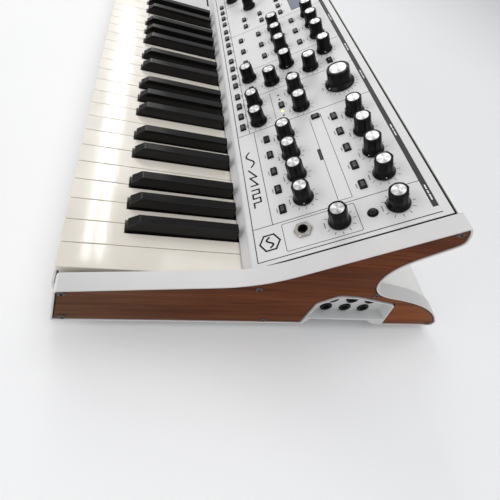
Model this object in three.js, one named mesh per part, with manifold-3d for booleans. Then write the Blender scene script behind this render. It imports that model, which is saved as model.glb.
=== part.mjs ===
// A 37-key analogue synthesizer: a sheet-metal case between two end frames with wooden side panels.
//
// Millimetres. Every piece is drawn from one datum, the right-hand front corner of the keyboard at the
// height of the white keys: x to the player's right, y to the back, z up. The root group then moves the
// whole instrument so that the origin is under the middle of its footprint.

import * as THREE from "three";
import { ConvexGeometry } from "three/addons/geometries/ConvexGeometry.js";
import { mergeVertices } from "three/addons/utils/BufferGeometryUtils.js";
import Module from "manifold-3d";

const wasm = await Module();
wasm.setup();

// ---------------------------------------------------------------- driving dimensions

const GAP = 0.4; // between neighbouring pieces
const SHEET = 2; // thickness of the folded metal

const CASE_WIDTH = 680;
const CASE_RIGHT = 20; // outer face of the right-hand end frame
const CASE_LEFT = CASE_RIGHT - CASE_WIDTH;
const CASE_MIDDLE = (CASE_LEFT + CASE_RIGHT) / 2;
const CASE_FRONT = -4.9;
const CASE_REAR = 376;
const CASE_BOTTOM = -48.5;
const FLOOR = -60; // what the rubber feet stand on
const END_THICKNESS = 16;
const INNER_RIGHT = CASE_RIGHT - END_THICKNESS;
const INNER_LEFT = CASE_LEFT + END_THICKNESS;

const PANEL_ANGLE = THREE.MathUtils.degToRad(35.1);
const PANEL_MID = new THREE.Vector2(203.35, 50.86); // the (y, z) that panel heights are measured from
const PANEL_LOW = -66; // up-slope distances from PANEL_MID to the panel's two edges
const PANEL_HIGH = 94.3;
const PANEL_BELOW_FRAME = 2;

const WHITE_PITCH = 23.5;
const WHITE_COUNT = 22;
const KEYS_WIDTH = WHITE_PITCH * WHITE_COUNT;
const KEY_GAP = 0.6;
const HEAD_LENGTH = 46.4;
const BLACK_FRONT = 47.7;
const BLACK_WIDTH = 12.4;
const BLACK_TOP_WIDTH = 9.6;
const BLACK_HEIGHT = 11.5;
const KEY_VISIBLE = 143.5;
const KEY_TAIL = 176;
const KEY_DEPTH = 16;

// ---------------------------------------------------------------- materials

function finish(color, roughness, metalness) {
  return new THREE.MeshStandardMaterial({ color, roughness, metalness });
}

const silver = finish(0xd3d3d5, 0.42, 0.6);
const paleSheet = finish(0xdcdbd6, 0.5, 0.4);
const darkSheet = finish(0x8d8f92, 0.5, 0.6);
const greyCast = finish(0x9fa3a3, 0.45, 0.5);
const wood = finish(0x6b3418, 0.5, 0);
const ivory = finish(0xf1efe6, 0.22, 0);
const ebony = finish(0x161617, 0.25, 0);
const knobPlastic = finish(0x17171a, 0.35, 0);
const boardGreen = finish(0x24462f, 0.6, 0);
const displayGlass = finish(0x1b2430, 0.1, 0);

// ---------------------------------------------------------------- solids

// A closed geometry as a solid that can be joined and cut.
function solid(geometry) {
  const shell = geometry.index ? geometry.toNonIndexed() : geometry.clone();
  shell.deleteAttribute("normal");
  shell.deleteAttribute("uv");
  const merged = mergeVertices(shell, 1e-4);
  const vertProperties = merged.attributes.position.array;
  const triVerts = new Uint32Array(merged.index.array);
  return new wasm.Manifold(new wasm.Mesh({ numProp: 3, vertProperties, triVerts }));
}

function geometryOf(made) {
  const { vertProperties, triVerts } = made.getMesh();
  const geometry = new THREE.BufferGeometry();
  geometry.setAttribute("position", new THREE.BufferAttribute(new Float32Array(vertProperties), 3));
  geometry.setIndex(new THREE.BufferAttribute(new Uint32Array(triVerts), 1));
  geometry.computeVertexNormals();
  return geometry;
}

function joined(pieces) {
  return pieces.reduce((whole, piece) => whole.add(piece));
}

function cutBy(whole, cutters) {
  return cutters.reduce((left, cutter) => left.subtract(cutter), whole);
}

function named(name, shape, material) {
  const geometry = shape.isBufferGeometry ? shape : geometryOf(shape);
  const mesh = new THREE.Mesh(geometry, material);
  mesh.name = name;
  return mesh;
}

function box([x0, x1], [y0, y1], [z0, z1]) {
  const geometry = new THREE.BoxGeometry(x1 - x0, y1 - y0, z1 - z0);
  geometry.translate((x0 + x1) / 2, (y0 + y1) / 2, (z0 + z1) / 2);
  return solid(geometry);
}

// A (y, z) outline pulled along x.
const ALONG_X = new THREE.Matrix4().makeBasis(
  new THREE.Vector3(0, 1, 0),
  new THREE.Vector3(0, 0, 1),
  new THREE.Vector3(1, 0, 0),
);

function pulledAlongX(outline, x0, x1) {
  const shape = new THREE.Shape(outline);
  const geometry = new THREE.ExtrudeGeometry(shape, { depth: x1 - x0, bevelEnabled: false });
  return solid(geometry.applyMatrix4(ALONG_X).translate(x0, 0, 0));
}

function rodAlongX(radius, x0, x1, y, z, sides = 16) {
  const geometry = new THREE.CylinderGeometry(radius, radius, x1 - x0, sides);
  return solid(geometry.rotateZ(Math.PI / 2).translate((x0 + x1) / 2, y, z));
}

function points(...pairs) {
  return pairs.map(([a, b]) => new THREE.Vector2(a, b));
}

// An outline moved sideways by a distance: inwards when it is closed, to its right when it is open.
function offset(outline, distance, closed = true) {
  const count = outline.length;
  const side = closed && THREE.ShapeUtils.area(outline) > 0 ? -1 : 1;
  return outline.map((here, i) => {
    const before = closed ? outline[(i + count - 1) % count] : outline[Math.max(i - 1, 0)];
    const after = closed ? outline[(i + 1) % count] : outline[Math.min(i + 1, count - 1)];
    const arriving = here.clone().sub(before).normalize();
    const leaving = after.clone().sub(here).normalize();
    const along = arriving.clone().add(leaving).normalize();
    const widen = Math.max(along.dot(leaving), along.dot(arriving));
    return new THREE.Vector2(
      here.x + (side * distance * along.y) / widen,
      here.y - (side * distance * along.x) / widen,
    );
  });
}

// ---------------------------------------------------------------- the panel's own frame

// u runs with x, v up the slope, w out of the panel's face.
const ON_PANEL = new THREE.Matrix4()
  .makeRotationX(PANEL_ANGLE)
  .setPosition(0, PANEL_MID.x, PANEL_MID.y);

function panelPoint(v, w) {
  const point = new THREE.Vector3(0, v, w).applyMatrix4(ON_PANEL);
  return new THREE.Vector2(point.y, point.z);
}

function panelBox(u, v, width, height, w0, w1) {
  const geometry = new THREE.BoxGeometry(width, height, w1 - w0);
  return solid(geometry.translate(u, v, (w0 + w1) / 2).applyMatrix4(ON_PANEL));
}

// A turned shape, given as (radius, w) pairs from its foot on the axis to its top on the axis.
function panelTurned(u, v, profile, sides) {
  const geometry = new THREE.LatheGeometry(points(...profile), sides);
  return solid(geometry.rotateX(Math.PI / 2).translate(u, v, 0).applyMatrix4(ON_PANEL));
}

// ---------------------------------------------------------------- where the controls are

const KNOB = { skirt: 9.6, barrel: 7.8, height: 18 };
const BIG_KNOB = { skirt: 15.5, barrel: 12, height: 18.6 };
const SHAFT_RADIUS = 3;
const SHAFT_HOLE = 4;
const BUTTON = [9.4, 5.6];
const TALL_BUTTON = [6.2, 7.8];
const BUTTON_ROOM = 0.4;
const BOARD_TOP = -14;
const POT_HEIGHT = 8;

// Rows across the panel, by their distance up the slope.
const ROW = { bank: -52.3, low: -33.5, amp: -9.5, lower: -8, middle: 14.5, upper: 39, top: 61.5 };

function row(first, step, count, v) {
  return Array.from({ length: count }, (_, i) => [first + step * i, v]);
}

const OUTPUT_COLUMN = -21;
const ENVELOPE_KNOBS = [-57.1, -29.35, 4];
const ENVELOPE_BUTTONS = [-51.8, -24.45, 5];
const FILTER_COLUMNS = [-182.3, -215];
const MIXER_COLUMNS = [-246.3, -270.3];
const OSCILLATOR_COLUMNS = [-308.5, -338.5, -368.5];
const DISPLAY_COLUMN = -436;
const MODULATION_COLUMNS = [-504, -532, -564, -592];
const GLIDE_COLUMN = -624;

const CUTOFF = [-198.4, 60.7];
const MASTER_VOLUME = [OUTPUT_COLUMN, 61];
const HEADPHONE_VOLUME = [OUTPUT_COLUMN, 13.6];
const VALUE_KNOB = [-458, -10];
const MUTE = [OUTPUT_COLUMN + 1.2, 40.3];
const TALL_BUTTON_AT = [-159, 24.6];
const MUTE_RADIUS = 3.3;
const BUSH_RADIUS = 4.4;
const ROUND_ROOM = 0.5;
const HEADPHONE_SOCKET = [OUTPUT_COLUMN - 2, -17];
const DISPLAY = { at: [DISPLAY_COLUMN, 58], width: 78, height: 26 };

const FIXED_KNOBS = [
  ...row(...ENVELOPE_KNOBS, ROW.top),
  ...row(...ENVELOPE_KNOBS, ROW.amp),
  ...FILTER_COLUMNS.flatMap((u) => [[u, ROW.middle], [u, ROW.low]]),
  [MIXER_COLUMNS[1], ROW.top],
  [MIXER_COLUMNS[0], ROW.upper],
  [MIXER_COLUMNS[1], ROW.middle],
  [MIXER_COLUMNS[0], ROW.lower],
  [MIXER_COLUMNS[1], ROW.low],
  ...OSCILLATOR_COLUMNS.flatMap((u) => [[u, ROW.top], [u, ROW.middle]]),
  ...MODULATION_COLUMNS.flatMap((u) => [[u, ROW.top], [u, ROW.middle], [u, ROW.low]]),
  ...[ROW.top, ROW.middle, ROW.low].map((v) => [GLIDE_COLUMN, v]),
];

const FIXED_BUTTONS = [
  ...[0, 1, 2, 3].flatMap((group) => row(-182.2 - group * 84.4, -19.95, 4, ROW.bank)),
  ...row(...ENVELOPE_BUTTONS, 41.6),
  ...row(...ENVELOPE_BUTTONS, -29.9),
  [-197.3, -4.9],
  [MIXER_COLUMNS[0], ROW.top],
  [MIXER_COLUMNS[1], ROW.upper],
  [MIXER_COLUMNS[0], ROW.middle],
  [MIXER_COLUMNS[1], ROW.lower],
  [MIXER_COLUMNS[0], ROW.low],
  ...row(OSCILLATOR_COLUMNS[0], -30, 3, ROW.upper),
  ...row(OSCILLATOR_COLUMNS[0], -30, 3, ROW.lower),
  ...row(OSCILLATOR_COLUMNS[0], -30, 3, ROW.low),
  ...row(DISPLAY_COLUMN + 32, -21.3, 4, 30),
  ...row(DISPLAY_COLUMN + 32, -21.3, 2, 2),
  ...row(DISPLAY_COLUMN + 32, -21.3, 2, -22),
  ...MODULATION_COLUMNS.flatMap((u) => [[u, ROW.upper], [u, ROW.lower]]),
  [GLIDE_COLUMN, ROW.upper],
  [GLIDE_COLUMN, ROW.lower],
];

const ALL_BUTTONS = [
  ...FIXED_BUTTONS.map((place) => [...place, ...BUTTON]),
  [...TALL_BUTTON_AT, ...TALL_BUTTON],
];

// ---------------------------------------------------------------- side outline of the instrument

const KEY_SIDE_SLOPE = Math.tan(THREE.MathUtils.degToRad(7.3));
const FRONT_TOP = new THREE.Vector2(2.6, -1.7);
const BEND = new THREE.Vector2(152.5, 17.5); // where the gentle front slope meets the panel slope
const BEND_REACH = 32;
const CORNER_REACH = 3;
const WING_TOP = panelPoint(98.6, PANEL_BELOW_FRAME);
const WING_TIP = new THREE.Vector2(293.1, 93.2);
const COVE_DEEPEST = new THREE.Vector2(256.4, 38.5);

// The wing's rounded rear edge, the cove under it and the top of the rear foot.
function drawRear(path) {
  path.quadraticCurveTo(290.8, 103.2, WING_TIP.x, WING_TIP.y);
  path.quadraticCurveTo(292.9, 89.2, 290, 86.4);
  path.lineTo(271.8, 68.7);
  path.bezierCurveTo(263, 60, COVE_DEEPEST.x, 50, COVE_DEEPEST.x, COVE_DEEPEST.y);
  path.bezierCurveTo(COVE_DEEPEST.x, 20, 268, 11, 286.3, 7.4);
  path.bezierCurveTo(325, 0, 354, -12, CASE_REAR, CASE_BOTTOM + 8);
}

function sideOutline() {
  const slopeDirection = new THREE.Vector2(Math.cos(PANEL_ANGLE), Math.sin(PANEL_ANGLE));
  const bendStart = BEND.clone().sub(new THREE.Vector2(BEND_REACH, BEND_REACH * KEY_SIDE_SLOPE));
  const bendEnd = BEND.clone().addScaledVector(slopeDirection, BEND_REACH);
  const side = new THREE.Shape();
  side.moveTo(CASE_FRONT, CASE_BOTTOM);
  side.lineTo(FRONT_TOP.x - 0.5, FRONT_TOP.y - CORNER_REACH);
  side.quadraticCurveTo(
    FRONT_TOP.x,
    FRONT_TOP.y,
    FRONT_TOP.x + CORNER_REACH,
    FRONT_TOP.y + CORNER_REACH * KEY_SIDE_SLOPE,
  );
  side.lineTo(bendStart.x, bendStart.y);
  side.quadraticCurveTo(BEND.x, BEND.y, bendEnd.x, bendEnd.y);
  side.lineTo(WING_TOP.x, WING_TOP.y);
  drawRear(side);
  side.lineTo(CASE_REAR, CASE_BOTTOM);
  return side.getPoints(7).slice(0, -1);
}

// The jack bay's outline, from its front wall over the top to its rear wall, open at the bottom.
const BAY_REAR = 309.8;
const RIGHT_BAY_FRONT = 214.6;
const LEFT_BAY_FRONT = 150;

function bayOutline(front, bottom) {
  const rearTop = new THREE.Vector2(298.4, -8.6);
  const rearLean = (BAY_REAR - rearTop.x) / (rearTop.y - CASE_BOTTOM);
  return [
    ...points([front, bottom], [front, -9.5], [front + 14, 4.6], [front + 19, 6.6]),
    ...points([252, 6], [290, -2.7]),
    rearTop,
    new THREE.Vector2(rearTop.x + rearLean * (rearTop.y - bottom), bottom),
  ];
}

function bayCutter(front, room) {
  const outline = bayOutline(front, FLOOR);
  return pulledAlongX(offset(outline, -room), INNER_RIGHT - 1, CASE_RIGHT + 1);
}

// ---------------------------------------------------------------- end frames and wood panels

const RIM = 1.6;
const WOOD_RECESS = 4.4;
const WOOD_THICKNESS = 3.4;

function endFrame(name, bayFront) {
  const outline = sideOutline();
  const plate = pulledAlongX(outline, INNER_RIGHT, CASE_RIGHT);
  const recess = pulledAlongX(offset(outline, RIM), CASE_RIGHT - WOOD_RECESS, CASE_RIGHT + 1);
  return named(name, cutBy(plate, [recess, bayCutter(bayFront, 0)]), silver);
}

function woodPanel(name, bayFront) {
  const outline = offset(sideOutline(), RIM + GAP);
  const back = CASE_RIGHT - WOOD_RECESS + GAP;
  const sheet = pulledAlongX(outline, back, back + WOOD_THICKNESS);
  return named(name, cutBy(sheet, [bayCutter(bayFront, GAP)]), wood);
}

// ---------------------------------------------------------------- jack pods

const POD_BACK = 9; // x of the tray's back face
const POD_WALL = 2;
const POD_FLOOR = -36.5;
const POD_INSIDE = POD_BACK + POD_WALL;
const SOCKET = { collar: 5.7, body: 6.4, bore: 3.3, depth: 12 };
const DATA_PORT = { collar: 7.6, body: 8, bore: 6.2, depth: 5 };
const COLLAR_PROUD = 1.6;

function podTray(front) {
  const rim = offset(bayOutline(front, CASE_BOTTOM + 0.6), GAP);
  const below = points(
    [front + 1.6, CASE_BOTTOM - 2],
    [front + 6.6, POD_FLOOR],
    [284.6, POD_FLOOR - 1.6],
    [305, CASE_BOTTOM - 2],
  );
  const tray = pulledAlongX(rim, POD_BACK, CASE_RIGHT + 0.5);
  const mouth = points(
    [front + 2.2, -34.6],
    [front + 2.2, -9.8],
    [front + 14.8, 2.9],
    [front + 19.4, 4.8],
    [251.8, 4.2],
    [289.4, -4.3],
    [296.8, -9.7],
    [303.6, -34.6],
  );
  const middle = new THREE.Vector2((front + BAY_REAR) / 2, -20);
  const floor = mouth.map((p) => p.clone().lerp(middle, 0.09));
  const hollow = new ConvexGeometry([
    ...mouth.map((p) => new THREE.Vector3(CASE_RIGHT + 1, p.x, p.y)),
    ...floor.map((p) => new THREE.Vector3(POD_BACK + POD_WALL, p.x, p.y)),
  ]);
  return cutBy(tray, [pulledAlongX(below, POD_BACK - 1, CASE_RIGHT + 2), solid(hollow)]);
}

// A round socket's collar in front of the tray's wall, with its body behind it.
function socketBody([y, z], { collar, body, depth }) {
  const ring = rodAlongX(collar, POD_INSIDE - 1, POD_INSIDE + COLLAR_PROUD, y, z, 12);
  return ring.add(rodAlongX(body, POD_BACK - depth - 2, POD_BACK + 1, y, z, 8));
}

function socketBore([y, z], { bore, depth }) {
  return rodAlongX(bore, POD_BACK - depth, POD_INSIDE + 3, y, z, 12);
}

function rightPod() {
  const places = [236, 256.8, 277.5].flatMap((y) => [[y, -27.5], [y, -12]]);
  const bodies = places.map((place) => socketBody(place, SOCKET));
  const bores = places.map((place) => socketBore(place, SOCKET));
  const made = cutBy(joined([podTray(RIGHT_BAY_FRONT), ...bodies]), bores);
  return named("right_jack_pod", made, greyCast);
}

// A block behind the tray's wall, reaching just through it, and the well cut into its front.
function wellBody({ y, z, width, height }, depth) {
  const wall = 2;
  return box(
    [POD_BACK - depth - wall, POD_INSIDE + 1],
    [y - width / 2 - wall, y + width / 2 + wall],
    [z - height / 2 - wall, z + height / 2 + wall],
  );
}

function well({ y, z, width, height }, depth) {
  return box(
    [POD_BACK - depth, POD_INSIDE + 3],
    [y - width / 2, y + width / 2],
    [z - height / 2, z + height / 2],
  );
}

// The left pod holds sockets, two round data ports, a square one, the power switch and the mains inlet.
const SQUARE_PORT = { y: 240.5, z: -19, width: 9, height: 8.4 };
const ROCKER = { y: 256.5, z: -19, width: 12, height: 20 };
const INLET = { y: 280, z: -20, width: 22, height: 16.5 };
const ROCKER_TILT = THREE.MathUtils.degToRad(7);
const WELLS = [[SQUARE_PORT, 9], [ROCKER, 13], [INLET, 14]];

function leftPod() {
  const sockets = [164, 183].flatMap((y) => [[y, -27], [y, -10.5]]);
  const dataPorts = [[203, -19], [222.5, -19]];
  const pins = [-6.5, 0, 6.5].map((dy) =>
    box(
      [POD_BACK - 15, POD_INSIDE - 3],
      [INLET.y + dy - 1, INLET.y + dy + 1],
      [INLET.z - 2, INLET.z + 2],
    ),
  );
  const outside = joined([
    podTray(LEFT_BAY_FRONT),
    ...sockets.map((place) => socketBody(place, SOCKET)),
    ...dataPorts.map((place) => socketBody(place, DATA_PORT)),
    ...WELLS.map(([port, depth]) => wellBody(port, depth)),
  ]);
  const inside = [
    ...sockets.map((place) => socketBore(place, SOCKET)),
    ...dataPorts.map((place) => socketBore(place, DATA_PORT)),
    ...WELLS.map(([port, depth]) => well(port, depth)),
  ];
  return named("left_jack_pod", joined([cutBy(outside, inside), ...pins]), greyCast);
}

// The rocker stands with its upper end pressed in, tilted about the middle of its well.
function powerRocker() {
  const half = ROCKER.height / 2 - 1.4;
  const pivot = POD_INSIDE - 3;
  const outline = points(
    [-5, 4 - half],
    [4.6, -half],
    [3.2, 0],
    [4.6, half],
    [-5, half - 4],
  );
  const across = ROCKER.width - 1.2;
  const settings = { depth: across, bevelEnabled: false };
  const geometry = new THREE.ExtrudeGeometry(new THREE.Shape(outline), settings);
  geometry.rotateX(Math.PI / 2).translate(0, across / 2, 0);
  geometry.rotateY(-ROCKER_TILT).translate(pivot, ROCKER.y, ROCKER.z);
  return named("power_rocker", geometry, knobPlastic);
}

// ---------------------------------------------------------------- sheet-metal case

function baseTray() {
  const outline = points(
    [CASE_FRONT + 0.7, CASE_BOTTOM + 0.2],
    [CASE_REAR - 1.6, CASE_BOTTOM + 0.2],
    [CASE_REAR - 1.6, CASE_BOTTOM + 0.2 + SHEET],
    [CASE_FRONT + 3, CASE_BOTTOM + 0.2 + SHEET],
    [0.9 - SHEET + 0.2, -17],
    [0.9 - 2 * SHEET + 0.2, -17],
  );
  const tray = pulledAlongX(outline, INNER_LEFT + GAP, INNER_RIGHT - GAP);
  const feet = [-50, CASE_LEFT + 70].flatMap((x) =>
    [38, 330].map((y) => {
      const height = CASE_BOTTOM + 1 - FLOOR;
      const foot = new THREE.CylinderGeometry(11, 9.5, height, 20);
      return solid(foot.rotateX(Math.PI / 2).translate(x, y, FLOOR + height / 2));
    }),
  );
  return named("base_tray", joined([tray, ...feet]), darkSheet);
}

function rearCover() {
  const path = new THREE.Path();
  const top = panelPoint(PANEL_HIGH + 1.6, 0.8);
  path.moveTo(top.x, top.y);
  path.lineTo(WING_TOP.x, WING_TOP.y);
  drawRear(path);
  path.lineTo(CASE_REAR, CASE_BOTTOM + SHEET + 0.7);
  const outer = offset(path.getPoints(6), 1.4, false);
  const inner = offset(outer, SHEET, false).reverse();
  const outline = [...outer, ...inner];
  return named("rear_cover", pulledAlongX(outline, INNER_LEFT + GAP, INNER_RIGHT - GAP), paleSheet);
}

function controlPanel() {
  const lip = new THREE.Vector2(145.6, 2);
  const bend = [panelPoint(PANEL_LOW - 1, -1.4), panelPoint(PANEL_LOW + 1.4, 0)];
  const face = [lip, ...bend, panelPoint(PANEL_HIGH, 0)];
  const under = offset(face, SHEET, false).reverse();
  const sheet = pulledAlongX([...face, ...under], INNER_LEFT + GAP, INNER_RIGHT - GAP);
  const shaftHoles = [...FIXED_KNOBS, CUTOFF, MASTER_VOLUME, HEADPHONE_VOLUME, VALUE_KNOB].map(
    ([u, v]) => panelTurned(u, v, [[0, -4], [SHAFT_HOLE, -4], [SHAFT_HOLE, 2], [0, 2]], 8),
  );
  const buttonHoles = ALL_BUTTONS.map(([u, v, width, height]) =>
    panelBox(u, v, width + 2 * BUTTON_ROOM, height + 2 * BUTTON_ROOM, -4, 2),
  );
  const roundHoles = [[...MUTE, MUTE_RADIUS], [...HEADPHONE_SOCKET, BUSH_RADIUS]].map(([u, v, radius]) => {
    const hole = radius + ROUND_ROOM;
    return panelTurned(u, v, [[0, -4], [hole, -4], [hole, 2], [0, 2]], 16);
  });
  const windowHole = panelBox(...DISPLAY.at, DISPLAY.width, DISPLAY.height, -4, 2);
  const holes = [...shaftHoles, ...buttonHoles, ...roundHoles, windowHole];
  return named("control_panel", cutBy(sheet, holes), silver);
}

function displayWindow() {
  const plate = panelBox(
    ...DISPLAY.at,
    DISPLAY.width - 2 * GAP,
    DISPLAY.height - 2 * GAP,
    -1.6,
    0.2,
  );
  return named("display_window", plate, displayGlass);
}

// ---------------------------------------------------------------- controls

function knobProfile({ skirt, barrel, height }, foot) {
  return [
    [0, foot],
    [SHAFT_RADIUS, foot],
    [SHAFT_RADIUS, 0.8],
    [skirt, 0.8],
    [skirt - 0.6, 2.6],
    [barrel + 0.5, 4.6],
    [barrel, height - 0.8],
    [barrel - 0.8, height],
    [0, height],
  ];
}

function turningKnob(name, [u, v], size) {
  const foot = BOARD_TOP + POT_HEIGHT + GAP;
  return named(name, panelTurned(u, v, knobProfile(size, foot), 20), knobPlastic);
}

// The circuit board behind the panel with everything that is soldered to it.
function controlBoard() {
  const edge = 8;
  const left = INNER_LEFT + edge;
  const right = INNER_RIGHT - edge;
  const board = panelBox((left + right) / 2, 6, right - left, 126, BOARD_TOP - 2, BOARD_TOP);
  const pots = [...FIXED_KNOBS, CUTOFF, MASTER_VOLUME, HEADPHONE_VOLUME, VALUE_KNOB].map(([u, v]) =>
    panelBox(u, v, 11, 11, BOARD_TOP - 1, BOARD_TOP + POT_HEIGHT),
  );
  const knobs = FIXED_KNOBS.map(([u, v]) =>
    panelTurned(u, v, knobProfile(KNOB, BOARD_TOP + POT_HEIGHT - 1), 9),
  );
  const buttons = ALL_BUTTONS.map((button) => panelBox(...button, BOARD_TOP - 1, 2));
  const muteSwitch = panelBox(...MUTE, 8, 8, BOARD_TOP - 1, -8);
  const bush = [[0, BOARD_TOP - 1], [BUSH_RADIUS, BOARD_TOP - 1], [BUSH_RADIUS, 1.6], [0, 1.6]];
  const jack = panelTurned(...HEADPHONE_SOCKET, bush, 12);
  const module = panelBox(...DISPLAY.at, DISPLAY.width + 6, DISPLAY.height + 6, BOARD_TOP - 1, -3);
  const all = [board, ...pots, ...knobs, ...buttons, muteSwitch, jack, module];
  return named("control_board", joined(all), boardGreen);
}

function muteButton() {
  const crown = MUTE_RADIUS - 0.9;
  const profile = [[0, -6], [MUTE_RADIUS, -6], [MUTE_RADIUS, 2.2], [crown, 3.1], [0, 3.1]];
  return named("mute_button", panelTurned(...MUTE, profile, 20), knobPlastic);
}

// ---------------------------------------------------------------- performance section

const PERFORMANCE_RIGHT = -KEYS_WIDTH - 3;
const WHEEL_AXIS = new THREE.Vector2(82, -15);
const WHEEL = { radius: 28, width: 11, bore: 3.2 };
const AXLE_RADIUS = 2.6;
const WHEEL_MIDDLES = { pitch: -612, modulation: -574 };
const SLOT = { width: 13, front: WHEEL_AXIS.x - 28, rear: WHEEL_AXIS.x + 28 };
const OCTAVE_BUTTONS = { down: WHEEL_MIDDLES.pitch, up: WHEEL_MIDDLES.modulation };
const OCTAVE_Y = 128;

function performancePanel() {
  const outline = points(
    [2.4, -22],
    [2.4, -1],
    [4, 0.6],
    [KEY_VISIBLE, 0.6],
    [KEY_VISIBLE, -22],
    [KEY_VISIBLE - SHEET, -22],
    [KEY_VISIBLE - SHEET, 0.6 - SHEET],
    [4 + 0.6, 0.6 - SHEET],
    [2.4 + SHEET, -2],
    [2.4 + SHEET, -22],
  );
  const sheet = pulledAlongX(outline, INNER_LEFT + GAP, PERFORMANCE_RIGHT);
  const cheeks = [-593, -630, -556].map((x) =>
    box([x - 1.5, x + 1.5], [WHEEL_AXIS.x - 12, WHEEL_AXIS.x + 12], [-26, 0]),
  );
  const axle = rodAlongX(AXLE_RADIUS, -630, -556, WHEEL_AXIS.x, WHEEL_AXIS.y, 12);
  const slots = Object.values(WHEEL_MIDDLES).map((x) =>
    box([x - SLOT.width / 2, x + SLOT.width / 2], [SLOT.front, SLOT.rear], [-3, 3]),
  );
  const buttonHoles = Object.values(OCTAVE_BUTTONS).map((x) =>
    box([x - 6, x + 6], [OCTAVE_Y - 4, OCTAVE_Y + 4], [-4, 3]),
  );
  const made = cutBy(joined([sheet, ...cheeks]), [...slots, ...buttonHoles]).add(axle);
  return named("performance_panel", made, silver);
}

function wheel(name, x) {
  const rim = new THREE.Shape();
  rim.absarc(0, 0, WHEEL.radius, 0, 2 * Math.PI);
  const bore = new THREE.Path();
  bore.absarc(0, 0, WHEEL.bore, 0, 2 * Math.PI);
  rim.holes.push(bore);
  const settings = { depth: WHEEL.width, bevelEnabled: false, curveSegments: 24 };
  const disc = new THREE.ExtrudeGeometry(rim, settings).applyMatrix4(ALONG_X);
  disc.translate(x - WHEEL.width / 2, WHEEL_AXIS.x, WHEEL_AXIS.y);
  const notch = rodAlongX(9, x - 20, x + 20, WHEEL_AXIS.x, WHEEL_AXIS.y + WHEEL.radius + 6);
  return named(name, solid(disc).subtract(notch), knobPlastic);
}

function octaveButton(name, x) {
  return named(name, box([x - 5.4, x + 5.4], [OCTAVE_Y - 3.4, OCTAVE_Y + 3.4], [-8, 2.8]), knobPlastic);
}

// ---------------------------------------------------------------- keyboard

const NOTE_NAMES = ["c", "c_sharp", "d", "d_sharp", "e", "f", "f_sharp", "g", "g_sharp", "a", "a_sharp", "b"];
const SCALE_WHITES = [0, 2, 4, 5, 7, 9, 11];
// How far each black key's middle is from the joint between the white keys beside it.
const BLACK_SHIFT = { 1: -2.4, 3: 2.4, 6: -3.2, 8: 0, 10: 3.2 };
const SIDE_ROOM = 1;

function whitesBelow(note) {
  const octave = Math.floor(note / 12);
  return octave * 7 + SCALE_WHITES.filter((n) => n < note - octave * 12).length;
}

function isBlack(note) {
  return note % 12 in BLACK_SHIFT;
}

function blackMiddle(note) {
  return -KEYS_WIDTH + whitesBelow(note) * WHITE_PITCH + BLACK_SHIFT[note % 12];
}

function keyName(note) {
  return "key_" + NOTE_NAMES[note % 12] + "_" + (Math.floor(note / 12) + 1);
}

const LAST_NOTE = 36;

function whiteKey(note) {
  const left = -KEYS_WIDTH + whitesBelow(note) * WHITE_PITCH + KEY_GAP / 2;
  const right = left + WHITE_PITCH - KEY_GAP;
  const reach = BLACK_WIDTH / 2 + SIDE_ROOM;
  const tailLeft = note > 0 && isBlack(note - 1) ? blackMiddle(note - 1) + reach : left;
  const tailRight = note < LAST_NOTE && isBlack(note + 1) ? blackMiddle(note + 1) - reach : right;
  const corner = 1.4;
  const plan = new THREE.Shape();
  plan.moveTo(left, corner);
  plan.quadraticCurveTo(left, 0, left + corner, 0);
  plan.lineTo(right - corner, 0);
  plan.quadraticCurveTo(right, 0, right, corner);
  plan.lineTo(right, HEAD_LENGTH);
  if (tailRight < right) plan.lineTo(tailRight, HEAD_LENGTH);
  plan.lineTo(tailRight, KEY_TAIL);
  plan.lineTo(tailLeft, KEY_TAIL);
  if (tailLeft > left) plan.lineTo(tailLeft, HEAD_LENGTH);
  if (tailLeft > left) plan.lineTo(left, HEAD_LENGTH);
  const settings = { depth: KEY_DEPTH, bevelEnabled: false, curveSegments: 3 };
  const slab = new THREE.ExtrudeGeometry(plan, settings).translate(0, 0, -KEY_DEPTH);
  const underLip = box([left - 1, right + 1], [-1, 2.5], [-KEY_DEPTH - 1, -6]);
  return named(keyName(note), solid(slab).subtract(underLip), ivory);
}

function blackKey(note) {
  const middle = blackMiddle(note);
  const shoulder = -3;
  const side = points(
    [BLACK_FRONT, -KEY_DEPTH],
    [BLACK_FRONT, shoulder],
    [BLACK_FRONT + 0.8, 4.5],
    [BLACK_FRONT + 9, BLACK_HEIGHT - 0.8],
    [BLACK_FRONT + 14, BLACK_HEIGHT],
    [KEY_VISIBLE, BLACK_HEIGHT],
    [KEY_VISIBLE, shoulder],
    [KEY_TAIL, shoulder],
    [KEY_TAIL, -KEY_DEPTH],
  );
  const settings = { depth: BLACK_WIDTH, bevelEnabled: false };
  const key = new THREE.ExtrudeGeometry(new THREE.Shape(side), settings).applyMatrix4(ALONG_X);
  const place = key.attributes.position;
  const narrowing = 1 - BLACK_TOP_WIDTH / BLACK_WIDTH;
  for (let i = 0; i < place.count; i++) {
    const raised = Math.max(place.getZ(i) - shoulder, 0) / (BLACK_HEIGHT - shoulder);
    const fromMiddle = (place.getX(i) - BLACK_WIDTH / 2) * (1 - narrowing * raised);
    place.setX(i, middle + fromMiddle);
  }
  return named(keyName(note), key, ebony);
}

// The steel chassis under the keys, with its front guide rail, contact strip and rear pivot rail.
function keybed() {
  const width = [-KEYS_WIDTH, 0];
  const made = joined([
    box(width, [8, 182], [-44, -42]),
    box(width, [10, 20], [-43, -29]),
    box(width, [95, 125], [-43, -34]),
    box(width, [165, 179], [-43, -17.2]),
  ]);
  return named("keybed_frame", made, darkSheet);
}

// ---------------------------------------------------------------- assembly

const rightEnd = new THREE.Group();
rightEnd.add(endFrame("right_end_frame", RIGHT_BAY_FRONT));
rightEnd.add(woodPanel("right_wood_panel", RIGHT_BAY_FRONT));
rightEnd.add(rightPod());

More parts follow.
